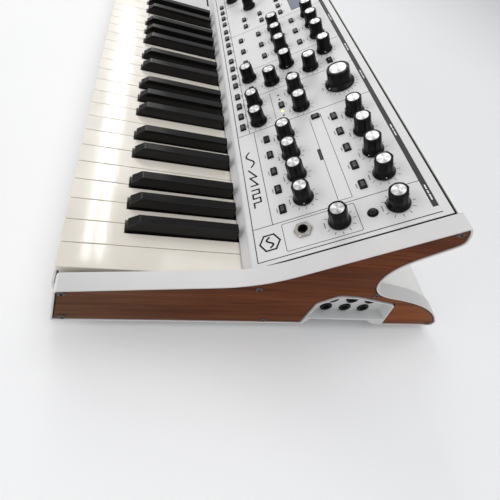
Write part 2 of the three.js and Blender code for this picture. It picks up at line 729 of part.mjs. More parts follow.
// The left end is made as a right-hand one and mirrored about the middle of the case.
const leftEnd = new THREE.Group();
leftEnd.scale.x = -1;
leftEnd.position.x = 2 * CASE_MIDDLE;
leftEnd.add(endFrame("left_end_frame", LEFT_BAY_FRONT));
leftEnd.add(woodPanel("left_wood_panel", LEFT_BAY_FRONT));
leftEnd.add(leftPod());
leftEnd.add(powerRocker());

const keys = new THREE.Group();
for (let note = 0; note <= LAST_NOTE; note++) {
  keys.add(isBlack(note) ? blackKey(note) : whiteKey(note));
}

const synthesizer = new THREE.Group();
synthesizer.name = "synthesizer";
synthesizer.position.set(-CASE_MIDDLE, -(CASE_FRONT + CASE_REAR) / 2, -FLOOR);
synthesizer.add(rightEnd, leftEnd, keys);
synthesizer.add(baseTray(), rearCover(), controlPanel(), displayWindow(), controlBoard());
synthesizer.add(keybed(), performancePanel());
synthesizer.add(wheel("pitch_wheel", WHEEL_MIDDLES.pitch));
synthesizer.add(wheel("modulation_wheel", WHEEL_MIDDLES.modulation));
synthesizer.add(octaveButton("octave_down_button", OCTAVE_BUTTONS.down));
synthesizer.add(octaveButton("octave_up_button", OCTAVE_BUTTONS.up));
synthesizer.add(turningKnob("cutoff_knob", CUTOFF, BIG_KNOB));
synthesizer.add(turningKnob("master_volume_knob", MASTER_VOLUME, KNOB));
synthesizer.add(turningKnob("headphone_volume_knob", HEADPHONE_VOLUME, KNOB));
synthesizer.add(turningKnob("value_knob", VALUE_KNOB, KNOB));
synthesizer.add(muteButton());

export default synthesizer;
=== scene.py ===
import math
import random

import bmesh
import bpy
from mathutils import Matrix, Vector


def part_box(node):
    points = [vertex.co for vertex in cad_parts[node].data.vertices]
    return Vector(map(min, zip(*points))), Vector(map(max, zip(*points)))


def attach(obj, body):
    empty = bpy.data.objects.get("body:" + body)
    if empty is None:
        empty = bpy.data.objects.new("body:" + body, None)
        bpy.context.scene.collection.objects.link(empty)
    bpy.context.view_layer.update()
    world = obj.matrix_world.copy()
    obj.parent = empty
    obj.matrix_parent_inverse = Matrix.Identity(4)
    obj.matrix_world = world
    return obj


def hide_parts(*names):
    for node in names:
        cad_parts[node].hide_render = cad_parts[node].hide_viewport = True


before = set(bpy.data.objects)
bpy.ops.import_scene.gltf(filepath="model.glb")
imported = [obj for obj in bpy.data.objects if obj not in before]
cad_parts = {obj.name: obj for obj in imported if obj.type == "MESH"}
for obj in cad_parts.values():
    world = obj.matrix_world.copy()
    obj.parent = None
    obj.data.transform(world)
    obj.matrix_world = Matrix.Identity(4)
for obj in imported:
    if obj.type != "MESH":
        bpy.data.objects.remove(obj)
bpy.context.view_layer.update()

MM = 0.001

# ---- driving dimensions

KEY_GAP = 0.6
WHITE_PITCH = 23.5
WHITE_COUNT = 22
KEYS_WIDTH = WHITE_PITCH * WHITE_COUNT
KEY_TAIL = 176
KEY_VISIBLE = 143.5
KEY_DEPTH = 16
HEAD_LENGTH = 46.4
BLACK_FRONT = 47.7
BLACK_WIDTH = 12.4
BLACK_TOP_WIDTH = 9.6
BLACK_HEIGHT = 11.5
LAST_NOTE = 36

GAP = 0.4
SHEET = 2
CASE_RIGHT = 20
CASE_LEFT = -660
CASE_MIDDLE = (CASE_LEFT + CASE_RIGHT) / 2
CASE_FRONT = -4.9
CASE_REAR = 376
CASE_BOTTOM = -48.5
FLOOR = -60
END_THICKNESS = 16
EDGE_GAP = 2.6
INNER_RIGHT = CASE_RIGHT - END_THICKNESS
INNER_LEFT = CASE_LEFT + END_THICKNESS

PANEL_ANGLE = math.radians(35.1)
PANEL_MID = (203.35, 50.86)
PANEL_LOW = -66
PANEL_HIGH = 94.3
GRAIN_REACH = 290

low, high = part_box("key_c_4")
DATUM = Vector((high.x + KEY_GAP / 2 * MM, low.y, high.z))


def at(x, y, z):
    """A point given in millimetres from the datum, in metres in the frame."""
    return DATUM + Vector((x, y, z)) * MM


TO_FRAME = Matrix.Translation(DATUM) @ Matrix.Scale(MM, 4)
ON_PANEL = (
    TO_FRAME
    @ Matrix.Translation((0, PANEL_MID[0], PANEL_MID[1]))
    @ Matrix.Rotation(PANEL_ANGLE, 4, "X")
)


def panel_point(v, w):
    """The (y, z) of a point v up the panel's slope and w out of its face."""
    cos, sin = math.cos(PANEL_ANGLE), math.sin(PANEL_ANGLE)
    return PANEL_MID[0] + v * cos - w * sin, PANEL_MID[1] + v * sin + w * cos


# ---- camera, light and floor


def make_camera():
    """The viewing angle: from above the right-hand end, rolled as the picture was."""
    azimuth, elevation, roll = math.radians(62.4), math.radians(49.41), math.radians(26.07)
    level = math.cos(elevation)
    back = Vector((math.sin(azimuth) * level, -math.cos(azimuth) * level, math.sin(elevation)))
    data = bpy.data.cameras.new("camera")
    data.sensor_width = 36
    data.lens = 26.2
    data.clip_start = 0.01
    camera = link("camera", data)
    camera.rotation_mode = "QUATERNION"
    spin = Matrix.Rotation(roll, 4, "Z").to_quaternion()
    camera.rotation_quaternion = (-back).to_track_quat("-Z", "Y") @ spin
    camera.location = at(161.9, 55.7, 251.2)
    bpy.context.scene.camera = camera


def make_light(name, place, target, size, power, tint=(1, 1, 1)):
    data = bpy.data.lights.new(name, "AREA")
    data.shape = "RECTANGLE"
    data.size, data.size_y = size
    data.energy = power
    data.color = tint
    light = link(name, data)
    light.location = place
    light.rotation_mode = "QUATERNION"
    light.rotation_quaternion = (Vector(target) - Vector(place)).to_track_quat("-Z", "Y")


def make_studio():
    world = bpy.data.worlds.new("studio")
    bpy.context.scene.world = world
    world.use_nodes = True
    background = world.node_tree.nodes["Background"]
    background.inputs["Color"].default_value = (0.93, 0.95, 1, 1)
    background.inputs["Strength"].default_value = 0.5
    make_light("overhead_softbox", (0.1, 0.35, 1.9), (0, 0, 0), (2.2, 1.2), 13)
    make_light("window", (-1.9, -0.7, 1.3), (0, 0, 0.1), (1.4, 1.6), 8, (1, 0.98, 0.95))
    make_light("side_fill", (2.0, -0.2, 0.8), (0.2, 0, 0.05), (1.2, 0.9), 4)
    make_light("front_fill", (0.3, -2.2, 0.75), (0, 0, 0.06), (2.6, 0.9), 20, (1, 0.98, 0.95))
    for n, y in enumerate((-0.379, -0.310)):
        make_light(f"ceiling_tube_{n + 1}", (-2.2, y, 1.56), (-2.2, y, 0), (3.0, 0.03), 3.6, (1, 0.98, 0.95))
    bpy.context.scene.view_settings.view_transform = "Standard"

    mesh = bpy.data.meshes.new("floor")
    side = 6
    corners = [(-side, -side, 0), (side, -side, 0), (side, side, 0), (-side, side, 0)]
    mesh.from_pydata(corners, [], [(0, 1, 2, 3)])
    floor = link("floor", mesh, floor_material())


# ---- materials


def new_material(name, color, roughness, metallic=0.0):
    material = bpy.data.materials.new(name)
    material.use_nodes = True
    shader = material.node_tree.nodes["Principled BSDF"]
    shader.inputs["Base Color"].default_value = (*color, 1)
    shader.inputs["Roughness"].default_value = roughness
    shader.inputs["Metallic"].default_value = metallic
    return material, material.node_tree, shader


def feed(tree, node, inputs):
    """Sets each input of a node to a constant, or links it to another node's output."""
    for socket, value in inputs.items():
        if isinstance(value, bpy.types.NodeSocket):
            tree.links.new(value, node.inputs[socket])
        else:
            node.inputs[socket].default_value = value


def outputs(tree, kind, inputs, **settings):
    """Adds a shader node and returns its outputs."""
    node = tree.nodes.new("ShaderNode" + kind)
    for name, value in settings.items():
        setattr(node, name, value)
    feed(tree, node, inputs)
    return node.outputs


def own_place(tree):
    return outputs(tree, "TexCoord", {})["Object"]


def noise(tree, scale, detail=4, stretch=(1, 1, 1), rough=0.55):
    """Noise over the object's own coordinates; scale counts per metre."""
    place = outputs(tree, "Mapping", {"Vector": own_place(tree), "Scale": stretch})[0]
    inputs = {"Vector": place, "Scale": scale, "Detail": detail, "Roughness": rough}
    return outputs(tree, "TexNoise", inputs)["Fac"]


def ramp(tree, value, stops):
    """A colour ramp with (position, colour) stops."""
    node = tree.nodes.new("ShaderNodeValToRGB")
    elements = node.color_ramp.elements
    while len(elements) < len(stops):
        elements.new(0.5)
    for element, (position, color) in zip(elements, stops):
        element.position = position
        element.color = (*color, 1)
    tree.links.new(value, node.inputs["Fac"])
    return node.outputs["Color"]


def spread(tree, value, low, high, start=0.3, end=0.7):
    """Maps the range from start to end, by default the middle of a noise, on to low to high."""
    inputs = {"Value": value, "From Min": start, "From Max": end, "To Min": low, "To Max": high}
    return outputs(tree, "MapRange", inputs)["Result"]


def bump(tree, shader, height, strength, distance):
    bent = outputs(tree, "Bump", {"Height": height, "Strength": strength, "Distance": distance})
    feed(tree, shader, {"Normal": bent["Normal"]})


def shaded(color, factor):
    return tuple(min(1, c * factor) for c in color)


def clouded(tree, value, color, variation):
    """The colour, darker and lighter by the variation where the value is low and high."""
    return ramp(tree, value, [(0.3, shaded(color, 1 - variation)), (0.7, shaded(color, 1 + variation))])


def coated_metal(name, color, roughness, metallic=0.0, variation=0.04, grain=900):
    """Powder-coated or satin metal: fine orange-peel bump, faint tone and gloss changes."""
    material, tree, shader = new_material(name, color, roughness, metallic)
    gloss = spread(tree, noise(tree, 60, 6), roughness - 0.05, roughness + 0.07)
    feed(tree, shader, {"Base Color": clouded(tree, noise(tree, 9, 5), color, variation), "Roughness": gloss})
    bump(tree, shader, noise(tree, grain, 2), 0.12, 0.0002)
    return material


def plastic(name, color, roughness, grain=1500, strength=0.1, variation=0.1, coat=0.0, shine=0.5):
    material, tree, shader = new_material(name, color, roughness)
    gloss = spread(tree, noise(tree, 55, 5), roughness - 0.04, roughness + 0.08)
    tone = clouded(tree, noise(tree, 40, 4), color, variation)
    feed(tree, shader, {"Base Color": tone, "Roughness": gloss})
    bump(tree, shader, noise(tree, grain, 2), strength, 0.0001)
    feed(tree, shader, {"Specular IOR Level": shine, "Coat Weight": coat, "Coat Roughness": 0.08})
    return material


def spun_aluminium():
    """Knob caps: fine turning rings, with sectors of painted highlight and painted shade spreading from the
    middle.
    """
    material, tree, shader = new_material("spun_aluminium", (0.7, 0.7, 0.7), 0.3, 0.7)
    tangent = outputs(tree, "Tangent", {}, direction_type="RADIAL", axis="Z")[0]
    place = outputs(tree, "SeparateXYZ", {0: own_place(tree)})
    angle = outputs(tree, "Math", {0: place["Y"], 1: place["X"]}, operation="ARCTAN2")[0]
    # Painted highlight and painted shade: the base colour turns light and dark in sectors round the cap.
    painted_light_fans = (0.34, 0.95, 0.42, 0.62, 0.3, 0.9, 0.4, 0.66)
    stops = [(k / 8, (painted_light_fans[k % 8],) * 3) for k in range(9)]
    color = ramp(tree, spread(tree, angle, 0, 1, -math.pi, math.pi), stops)
    gloss = spread(tree, noise(tree, 2.5, 3), 0.24, 0.36)
    feed(tree, shader, {"Anisotropic": 0.8, "Tangent": tangent, "Base Color": color, "Roughness": gloss})
    return material


def stained_wood():
    """Reddish-brown stained wood, its grain running from front to back; a painted sheen makes it greyer at
    the front, and it turns more orange towards the rear.
    """
    material, tree, shader = new_material("stained_wood", (0.12, 0.05, 0.03), 0.5)
    broad = noise(tree, 10, 5, (1, 0.3, 3), 0.6)
    fine = noise(tree, 90, 8, (1, 0.05, 3), 0.7)
    pores = noise(tree, 420, 3, (1, 0.04, 2), 0.6)
    grain = outputs(tree, "Mix", {0: 0.38, 2: broad, 3: fine})[0]
    stops = [(0.36, (0.060, 0.021, 0.009)), (0.46, (0.125, 0.047, 0.020))]
    stops += [(0.55, (0.190, 0.078, 0.034)), (0.66, (0.270, 0.122, 0.056))]
    color = ramp(tree, grain, stops)
    y = outputs(tree, "SeparateXYZ", {0: own_place(tree)})["Y"]
    along = spread(tree, y, 0, 1, at(0, 0, 0).y, at(0, GRAIN_REACH, 0).y)
    # Painted sheen: a bluish grey over the front stands for reflected light; towards the rear the tint turns
    # warmer and more orange.
    painted_sheen_and_tint = [(0.05, (0.8, 0.85, 0.88)), (0.4, (0.6, 0.42, 0.28))]
    painted_sheen_and_tint += [(0.75, (0.72, 0.46, 0.26)), (1, (1, 0.62, 0.28))]
    pore_tints = [(0.38, (0.35, 0.28, 0.24)), (0.5, (1, 1, 1))]
    for tint, strength in ((ramp(tree, along, painted_sheen_and_tint), 1.0), (ramp(tree, pores, pore_tints), 0.6)):
        inputs = {0: strength, 6: color, 7: tint}
        color = outputs(tree, "Mix", inputs, data_type="RGBA", blend_type="MULTIPLY")[2]
    feed(tree, shader, {"Base Color": color, "Roughness": spread(tree, fine, 0.42, 0.58)})
    bump(tree, shader, pores, 0.2, 0.0003)
    feed(tree, shader, {"Specular IOR Level": 0.06})
    return material


def glowing(name, color, strength):
    material, tree, shader = new_material(name, shaded(color, 0.8), 0.35)
    feed(tree, shader, {"Emission Color": (*color, 1), "Emission Strength": strength})
    bump(tree, shader, noise(tree, 900, 2), 0.08, 0.0001)
    return material


def tinted_glass():
    material, tree, shader = new_material("display_glass", (0.12, 0.16, 0.2), 0.06)
    gloss = spread(tree, noise(tree, 70, 5), 0.04, 0.1)
    feed(tree, shader, {"Transmission Weight": 0.9, "IOR": 1.49, "Roughness": gloss})
    return material


def circuit_board():
    material, tree, shader = new_material("circuit_board", (0.02, 0.12, 0.05), 0.4)
    stops = [(0.45, (0.015, 0.09, 0.04)), (0.55, (0.04, 0.2, 0.08))]
    feed(tree, shader, {"Base Color": ramp(tree, noise(tree, 300, 1), stops)})
    return material


def floor_material():
    material, tree, shader = new_material("floor", (0.92, 0.92, 0.915), 0.6)
    stops = [(0.3, (0.91, 0.91, 0.905)), (0.7, (0.93, 0.93, 0.925))]
    feed(tree, shader, {"Base Color": ramp(tree, noise(tree, 3, 4), stops)})
    return material


SILVER = coated_metal("frame_silver", (0.62, 0.61, 0.60), 0.36, 0.2)
PANEL_SILVER = coated_metal("panel_silver", (0.66, 0.655, 0.655), 0.42, 0.05, 0.03)
PALE = coated_metal("pale_sheet", (0.82, 0.81, 0.775), 0.45, 0.0)
DARK_SHEET = coated_metal("dark_sheet", (0.16, 0.165, 0.17), 0.5, 0.4)
CAST_GREY = coated_metal("grey_casting", (0.58, 0.585, 0.58), 0.42, 0.15)
STEEL = coated_metal("blackened_steel", (0.09, 0.085, 0.08), 0.3, 0.9)
CHROME = coated_metal("bright_plating", (0.8, 0.8, 0.8), 0.16, 1.0)
INK = plastic("printed_ink", (0.014, 0.014, 0.015), 0.6, variation=0.05, shine=0.15)
BAND = plastic("header_band", (0.035, 0.035, 0.037), 0.5, variation=0.05, shine=0.3)
IVORY = plastic("ivory_key", (0.75, 0.70, 0.61), 0.1, 900, 0.01, 0.02, 0.7)
EBONY = plastic("ebony_key", (0.006, 0.0055, 0.005), 0.12, 900, 0.02, 0.2, 0.0, 0.22)
KNOB_BLACK = plastic("knob_black", (0.005, 0.005, 0.0055), 0.2, 1300, 0.04, 0.2, 0.0, 0.14)
# On the panel buttons this grey fills only the middle of the dish, as a painted highlight.
BUTTON_GREY = plastic("button_grey", (0.055, 0.055, 0.058), 0.35, 1500, 0.08, 0.15, 0.0, 0.3)
GLOSS_BLACK = plastic("gloss_black", (0.005, 0.005, 0.005), 0.1, 1200, 0.02, 0.2, 0.0, 0.3)
SOCKET_BLACK = plastic("socket_black", (0.006, 0.006, 0.006), 0.45, 1200, 0.1, 0.2, 0.0, 0.15)
RUBBER = plastic("foot_rubber", (0.012, 0.012, 0.012), 0.75, 700, 0.3, 0.2, 0.0, 0.2)
WHEEL_BLACK = plastic("wheel_black", (0.03, 0.03, 0.032), 0.5, 900, 0.2, 0.2)
DOT_WHITE = plastic("pointer_white", (0.85, 0.85, 0.83), 0.4, variation=0.03)
WOOD = stained_wood()
# Painted shade: a dark brown for the wood's edges, standing for the shade in the gap between the rim and the
# wood.
WOOD_EDGE_SHADE = plastic("wood_edge_shade", (0.02, 0.009, 0.005), 0.6, 700, 0.2, 0.3, 0.0, 0.1)
CAP = spun_aluminium()
GLASS = tinted_glass()
BOARD = circuit_board()
NUT_STEEL = coated_metal("nut_steel", (0.42, 0.40, 0.37), 0.3, 0.9)
YELLOW = glowing("lamp_yellow", (1, 0.8, 0.1), 2.5)
LAMP_OFF = plastic("lamp_off", (0.10, 0.03, 0.03), 0.3, variation=0.1)
SCREEN = glowing("screen_blue", (0.25, 0.45, 0.9), 0.5)

# ---- mesh tools


def link(name, data, *materials, matrix=None):
    """Puts a mesh, camera or light into the scene; materials go to a mesh that has none."""
    made = bpy.data.objects.new(name, data)
    bpy.context.collection.objects.link(made)
    if matrix is not None:
        made.matrix_world = matrix
    if materials and not data.materials:
        for material in materials:
            data.materials.append(material)
    return made


def mesh_of(name, shape, *materials, smooth=True, sharp=None):
    """Turns a bmesh into a mesh with outward normals, its edges sharp over an angle in degrees."""
    bmesh.ops.recalc_face_normals(shape, faces=shape.faces)
    mesh = bpy.data.meshes.new(name)
    shape.to_mesh(mesh)
    shape.free()
    for polygon in mesh.polygons:
        polygon.use_smooth = smooth
    for material in materials:
        mesh.materials.append(material)
    if sharp:
        mesh.set_sharp_from_angle(angle=math.radians(sharp))
    return mesh


def modify(piece, kind, **settings):
    modifier = piece.modifiers.new(kind.lower(), kind)
    for name, value in settings.items():
        setattr(modifier, name, value)


def bake(piece):
    """Turns a piece's modifiers into its mesh."""
    bpy.context.view_layer.update()
    graph = bpy.context.evaluated_depsgraph_get()
    mesh = bpy.data.meshes.new_from_object(piece.evaluated_get(graph))
    piece.modifiers.clear()
    piece.data = mesh


def finished(piece, bevel=0.0, segments=2, angle=40, cutters=()):
    """Cuts a piece, bevels it by a width in millimetres, and shades its flat faces flat."""
    angle = math.radians(angle)
    for tool in cutters:
        modify(piece, "BOOLEAN", operation="DIFFERENCE", solver="EXACT", object=tool)
    if bevel:
        width = bevel * MM if piece.matrix_world.to_scale().x > 0.5 else bevel
        modify(piece, "BEVEL", width=width, segments=segments, limit_method="ANGLE", angle_limit=angle)
    bake(piece)
    for polygon in piece.data.polygons:
        polygon.use_smooth = True
    piece.data.set_sharp_from_angle(angle=angle)
    modify(piece, "WEIGHTED_NORMAL", mode="FACE_AREA", weight=100, keep_sharp=True)
    bake(piece)
    for tool in cutters:
        bpy.data.objects.remove(tool)
    return piece


def skin(name, near, far, *materials):
    """A closed mesh between two outlines with as many points."""
    shape = bmesh.new()
    near, far = ([shape.verts.new(point) for point in outline] for outline in (near, far))
    shape.faces.new(near)
    shape.faces.new(reversed(far))
    for i in range(len(near)):
        j = (i + 1) % len(near)
        shape.faces.new((near[j], near[i], far[i], far[j]))
    return mesh_of(name, shape, *materials)


def prism_x(name, outline, x0, x1, material):
    """A (y, z) outline pulled along x."""
    near, far = ([at(x, y, z) for y, z in outline] for x in (x0, x1))
    return link(name, skin(name, near, far, material))


def block(name, x, y, z, material):
    return prism_x(name, [(y[0], z[0]), (y[1], z[0]), (y[1], z[1]), (y[0], z[1])], *x, material)


def turned(name, rings, segments, materials, flute=0.0, flutes=0, cap_from=None):
    """A turned mesh about local Z from (radius, height) rings; flute is the depth of its grooves.

    A ring with a third value is grooved. The faces above ring cap_from take the second material."""
    shape = bmesh.new()
    loops = []
    for radius, height, *grooved in rings:
        loop = []
        for k in range(segments if radius else 1):
            a = 2 * math.pi * k / segments
            r = radius - (flute * (0.5 - 0.5 * math.cos(flutes * a)) if grooved else 0)
            loop.append(shape.verts.new((r * math.cos(a), r * math.sin(a), height)))
        loops.append(loop)
    for n, (lower, upper) in enumerate(zip(loops, loops[1:])):
        slot = cap_from is not None and n >= cap_from
        for k in range(segments):
            j = (k + 1) % segments
            if len(lower) == 1:
                corners = (lower[0], upper[k], upper[j])
            elif len(upper) == 1:
                corners = (lower[k], lower[j], upper[0])
            else:
                corners = (lower[k], lower[j], upper[j], upper[k])
            shape.faces.new(corners).material_index = slot
    return mesh_of(name, shape, *materials, sharp=38)


def stand_on_panel(u, v, w=0.0, turn=0.0):
    return ON_PANEL @ Matrix.Translation((u, v, w)) @ Matrix.Rotation(turn, 4, "Z")


def case_piece(piece, *replaced, slot=None):
    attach(piece, "case")
    if replaced:
        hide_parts(*replaced)
    return piece


def moving_piece(piece, node):
    """A piece that rides the moving body of the node it replaces."""
    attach(piece, node)
    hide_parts(node)


# ---- curves of the side outline


def curve(*given):
    """Points after the first along a Bezier curve: its control points, then how many steps."""
    *control, steps = given
    out = []
    for i in range(1, steps + 1):
        points = control
        while len(points) > 1:
            points = [[a + (b - a) * i / steps for a, b in zip(p, q)] for p, q in zip(points, points[1:])]
        out.append(tuple(points[0]))
    return out


FRONT_TOP = (2.6, -1.7)
SIDE_SLOPE = math.tan(math.radians(7.3))
BEND = (152.5, 17.5)
BEND_REACH = 32
CORNER_REACH = 3
WING_TOP = panel_point(98.6, 2)
WING_TIP = (293.1, 93.2)
COVE_DEEPEST = (256.4, 38.5)
CURVE_STEPS = 14


def rear_curve():
    """The wing's rounded rear edge, the cove under it and the top of the rear foot."""
    n = CURVE_STEPS
    out = curve(WING_TOP, (290.8, 103.2), WING_TIP, n // 2)
    out += curve(WING_TIP, (292.9, 89.2), (290, 86.4), n // 3)
    out += [(271.8, 68.7)]
    out += curve((271.8, 68.7), (263, 60), (COVE_DEEPEST[0], 50), COVE_DEEPEST, n)
    out += curve(COVE_DEEPEST, (COVE_DEEPEST[0], 20), (268, 11), (286.3, 7.4), n)
    out += curve((286.3, 7.4), (325, 0), (354, -12), (CASE_REAR, CASE_BOTTOM + 8), n)
    return out


def side_outline():
    cos, sin = math.cos(PANEL_ANGLE), math.sin(PANEL_ANGLE)
    corner = (FRONT_TOP[0] - 0.5, FRONT_TOP[1] - CORNER_REACH)
    after = (FRONT_TOP[0] + CORNER_REACH, FRONT_TOP[1] + CORNER_REACH * SIDE_SLOPE)
    bend_start = (BEND[0] - BEND_REACH, BEND[1] - BEND_REACH * SIDE_SLOPE)
    bend_end = (BEND[0] + BEND_REACH * cos, BEND[1] + BEND_REACH * sin)
    out = [(CASE_FRONT, CASE_BOTTOM), corner]
    out += curve(corner, FRONT_TOP, after, 4)
    out += [bend_start]
    out += curve(bend_start, BEND, bend_end, CURVE_STEPS)
    out += [WING_TOP]
    out += rear_curve()
    out += [(CASE_REAR, CASE_BOTTOM)]
    return out


def offset(outline, distance, closed=True):
    """The outline moved inwards, or to its right when it is open."""
    count = len(outline)
    if closed:
        area = sum(a[0] * b[1] - b[0] * a[1] for a, b in zip(outline, outline[1:] + outline[:1]))
        distance = -distance if area > 0 else distance
    out = []
    for i, here in enumerate(outline):
        before = outline[(i - 1) % count] if closed else outline[max(i - 1, 0)]
        after = outline[(i + 1) % count] if closed else outline[min(i + 1, count - 1)]
        arriving = (Vector(here) - Vector(before)).normalized()
        leaving = (Vector(after) - Vector(here)).normalized()
        along = (arriving + leaving).normalized()
        reach = distance / max(along.dot(leaving), along.dot(arriving))
        out.append((here[0] + reach * along.y, here[1] - reach * along.x))
    return out


# ---- end frames, wood and pods

RIM = 1.6
WOOD_RECESS = 4.4
WOOD_THICKNESS = 3.4
BAY_REAR = 309.8
BAY_FRONT = {"right": 214.6, "left": 150}
POD_BACK = 9
POD_INSIDE = 11
POD_FLOOR = -36.5
SIDES = {"right": lambda x: x, "left": lambda x: 2 * CASE_MIDDLE - x}


def bay_outline(front, bottom):
    rear_top = (298.4, -8.6)
    lean = (BAY_REAR - rear_top[0]) / (rear_top[1] - CASE_BOTTOM)
    return [
        (front, bottom),
        (front, -9.5),
        *curve((front, -9.5), (front + 1, -7.5), (front + 3, -5.6), 4),
        (front + 14, 4.6),
        *curve((front + 14, 4.6), (front + 16.4, 6.6), (front + 21, 6.7), 4),
        (252, 6),
        (290, -2.7),
        *curve((290, -2.7), (297, -4.4), rear_top, 5),
        (rear_top[0] + lean * (rear_top[1] - bottom), bottom),
    ]


def bay_cutter(side, room):
    """A cutter in the shape of the jack bay, grown by room."""
    outline = offset(bay_outline(BAY_FRONT[side], FLOOR), -room)
    x = SIDES[side]
    return prism_x("cutter", outline, x(INNER_RIGHT - 1), x(CASE_RIGHT + 1), SILVER)


def make_end(side):
    x = SIDES[side]
    outline = side_outline()
    plate = prism_x(side + "_end_casting", outline, x(INNER_RIGHT), x(CASE_RIGHT), SILVER)
    hollow_from = x(CASE_RIGHT - WOOD_RECESS)
    recess = prism_x("cutter", offset(outline, RIM), hollow_from, x(CASE_RIGHT + 1), SILVER)
    finished(plate, 0.45, 3, 35, cutters=[recess, bay_cutter(side, 0)])
    case_piece(plate, side + "_end_frame", slot="end_frame_silver")

    back = CASE_RIGHT - WOOD_RECESS + GAP
    wood_outline = offset(outline, RIM + GAP)
    panel = prism_x(side + "_wood_side", wood_outline, x(back), x(back + WOOD_THICKNESS), WOOD)
    finished(panel, 0.7, 2, 35, cutters=[bay_cutter(side, GAP)])
    # The edge and bevel faces of the wood take the dark brown: painted shade of the gap round the wood.
    panel.data.materials.append(WOOD_EDGE_SHADE)
    for polygon in panel.data.polygons:
        polygon.material_index = abs(polygon.normal.x) < 0.97
    case_piece(panel, side + "_wood_panel", slot="stained_wood")


SCREW_PLACES = [(7.6, -5.4), (4.6, -43), (153.5, 12), (175, -42.5), (266, 10.5), (368, -44.2), (279.5, 101.4)]


def make_end_screws(side):
    """Domed black screws that hold the wood to the frame."""
    rings = [(0, -2), (2.1, -2), (2.1, 0), (2.9, 0), (3.0, 0.35), (2.6, 1.0), (1.6, 1.45)]
    rings += [(1.15, 1.5), (1.1, 0.4), (0, 0.4)]
    mesh = turned("end_screw_" + side, rings, 24, [STEEL])
    head_from = CASE_RIGHT - WOOD_RECESS + GAP + WOOD_THICKNESS - 0.1
    for n, (y, z) in enumerate(SCREW_PLACES):
        case_piece(link(f"{side}_end_screw_{n + 1}", mesh, matrix=face_outwards(side, y, z, head_from)))


def port_cutters(side):
    """Holes through a pod's wall behind each of its sockets."""
    x = SIDES[side]
    bores = [(y, z, 5) for y, z in JACKS[side]]
    wells = []
    if side == "left":
        bores += [(y, PORT_HEIGHT, 7) for y in ROUND_PORTS]
        wells = [SQUARE_PORT, ROCKER, INLET]
    cutters = []
    for y, z, radius in bores:
        hole = turned("hole", [(0, -4), (radius, -4), (radius, 0.6), (0, 0.6)], 24, [SOCKET_BLACK])
        cutters.append(link("cutter", hole, matrix=face_outwards(side, y, z)))
    reach = (x(POD_BACK - 1), x(POD_INSIDE + 0.6))
    return cutters + [block("cutter", reach, *around(well, 0.5), SOCKET_BLACK) for well in wells]


def around(well, room):
    """The (low, high) of a port along y and z, grown by room."""
    y, z, width, height = well
    return (y - width / 2 - room, y + width / 2 + room), (z - height / 2 - room, z + height / 2 + room)


def make_pod(side):
    """The tray let into an end frame: a rim, sloping walls and a wall for the sockets."""
    x, front = SIDES[side], BAY_FRONT[side]
    rim = offset(bay_outline(front, CASE_BOTTOM + 0.6), GAP)
    tray = prism_x(side + "_jack_tray", rim, x(POD_BACK), x(CASE_RIGHT + 0.5), CAST_GREY)
    below = [(front + 1.6, CASE_BOTTOM - 2), (front + 6.6, POD_FLOOR), (284.6, POD_FLOOR - 1.6)]
    below += [(305, CASE_BOTTOM - 2)]
    notch = prism_x("cutter", below, x(POD_BACK - 1), x(CASE_RIGHT + 2), CAST_GREY)
    mouth = offset(bay_outline(front, POD_FLOOR), GAP + 1.5)
    middle = ((front + BAY_REAR) / 2, -20)
    floor = [(y + 0.09 * (middle[0] - y), z + 0.09 * (middle[1] - z)) for y, z in mouth]
    outer = [at(x(CASE_RIGHT + 1), y, z) for y, z in mouth]
    inner = [at(x(POD_INSIDE), y, z) for y, z in floor]
    hollow = link("cutter", skin("cutter", outer, inner, CAST_GREY))
    finished(tray, 0.35, 2, 30, cutters=[notch, hollow, *port_cutters(side)])
    case_piece(tray, side + "_jack_pod", slot="grey_casting")


def socket_mesh(name, collar, bore, depth):
    """A black socket with a raised collar and a hollow bore."""
    rings = [(0, -depth - 2), (collar - 0.4, -depth - 2), (collar - 0.4, -2), (collar, -2), (collar, 1.0)]
    rings += [(collar - 0.3, 1.5), (bore + 1.0, 1.6), (bore + 0.3, 1.2), (bore, 0.4)]
    rings += [(bore, -depth), (0, -depth)]
    return turned(name, rings, 36, [SOCKET_BLACK])


def nut_mesh(name, across, bore, height):
    """A hexagon nut with chamfered corners."""
    shape = bmesh.new()
    segments = 48
    loops = []
    rows = ((0, 1, 0), (1, 1, 0), (1, 1, height * 0.75), (0, 0.99, height), (0, 1, height))
    for hexagonal, shrink, z in rows:
        inner = across / 2 if shrink < 1 else bore
        loop = []
        for k in range(segments):
            a = 2 * math.pi * k / segments
            wedge = (a + math.pi / 6) % (math.pi / 3) - math.pi / 6
            r = across / 2 / math.cos(wedge) if hexagonal else inner * shrink
            loop.append(shape.verts.new((r * math.cos(a), r * math.sin(a), z)))
        loops.append(loop)
    tie(shape, loops)
    return mesh_of(name, shape, NUT_STEEL, sharp=30)


def tie(shape, loops):
    """Faces between each loop of a closed ring of loops and the next."""
    for lower, upper in zip(loops, loops[1:] + loops[:1]):
        for k in range(len(lower)):
            j = (k + 1) % len(lower)
            shape.faces.new((lower[k], lower[j], upper[j], upper[k]))


def face_outwards(side, y, z, inside=POD_INSIDE):
    turn = 1 if side == "right" else -1
    matrix = TO_FRAME @ Matrix.Translation((SIDES[side](inside), y, z))
    return matrix @ Matrix.Rotation(turn * math.pi / 2, 4, "Y")


SQUARE_PORT = (240.5, -19, 9, 8.4)
ROCKER = (256.5, -19, 12, 20)
INLET = (280, -20, 22, 16.5)
PORT_HEIGHT = -19
ROUND_PORTS = (203, 222.5)
JACKS = {
    "right": [(y, z) for y in (236, 256.8, 277.5) for z in (-27.5, -12)],
    "left": [(y, z) for y in (164, 183) for z in (-27, -10.5)],
}


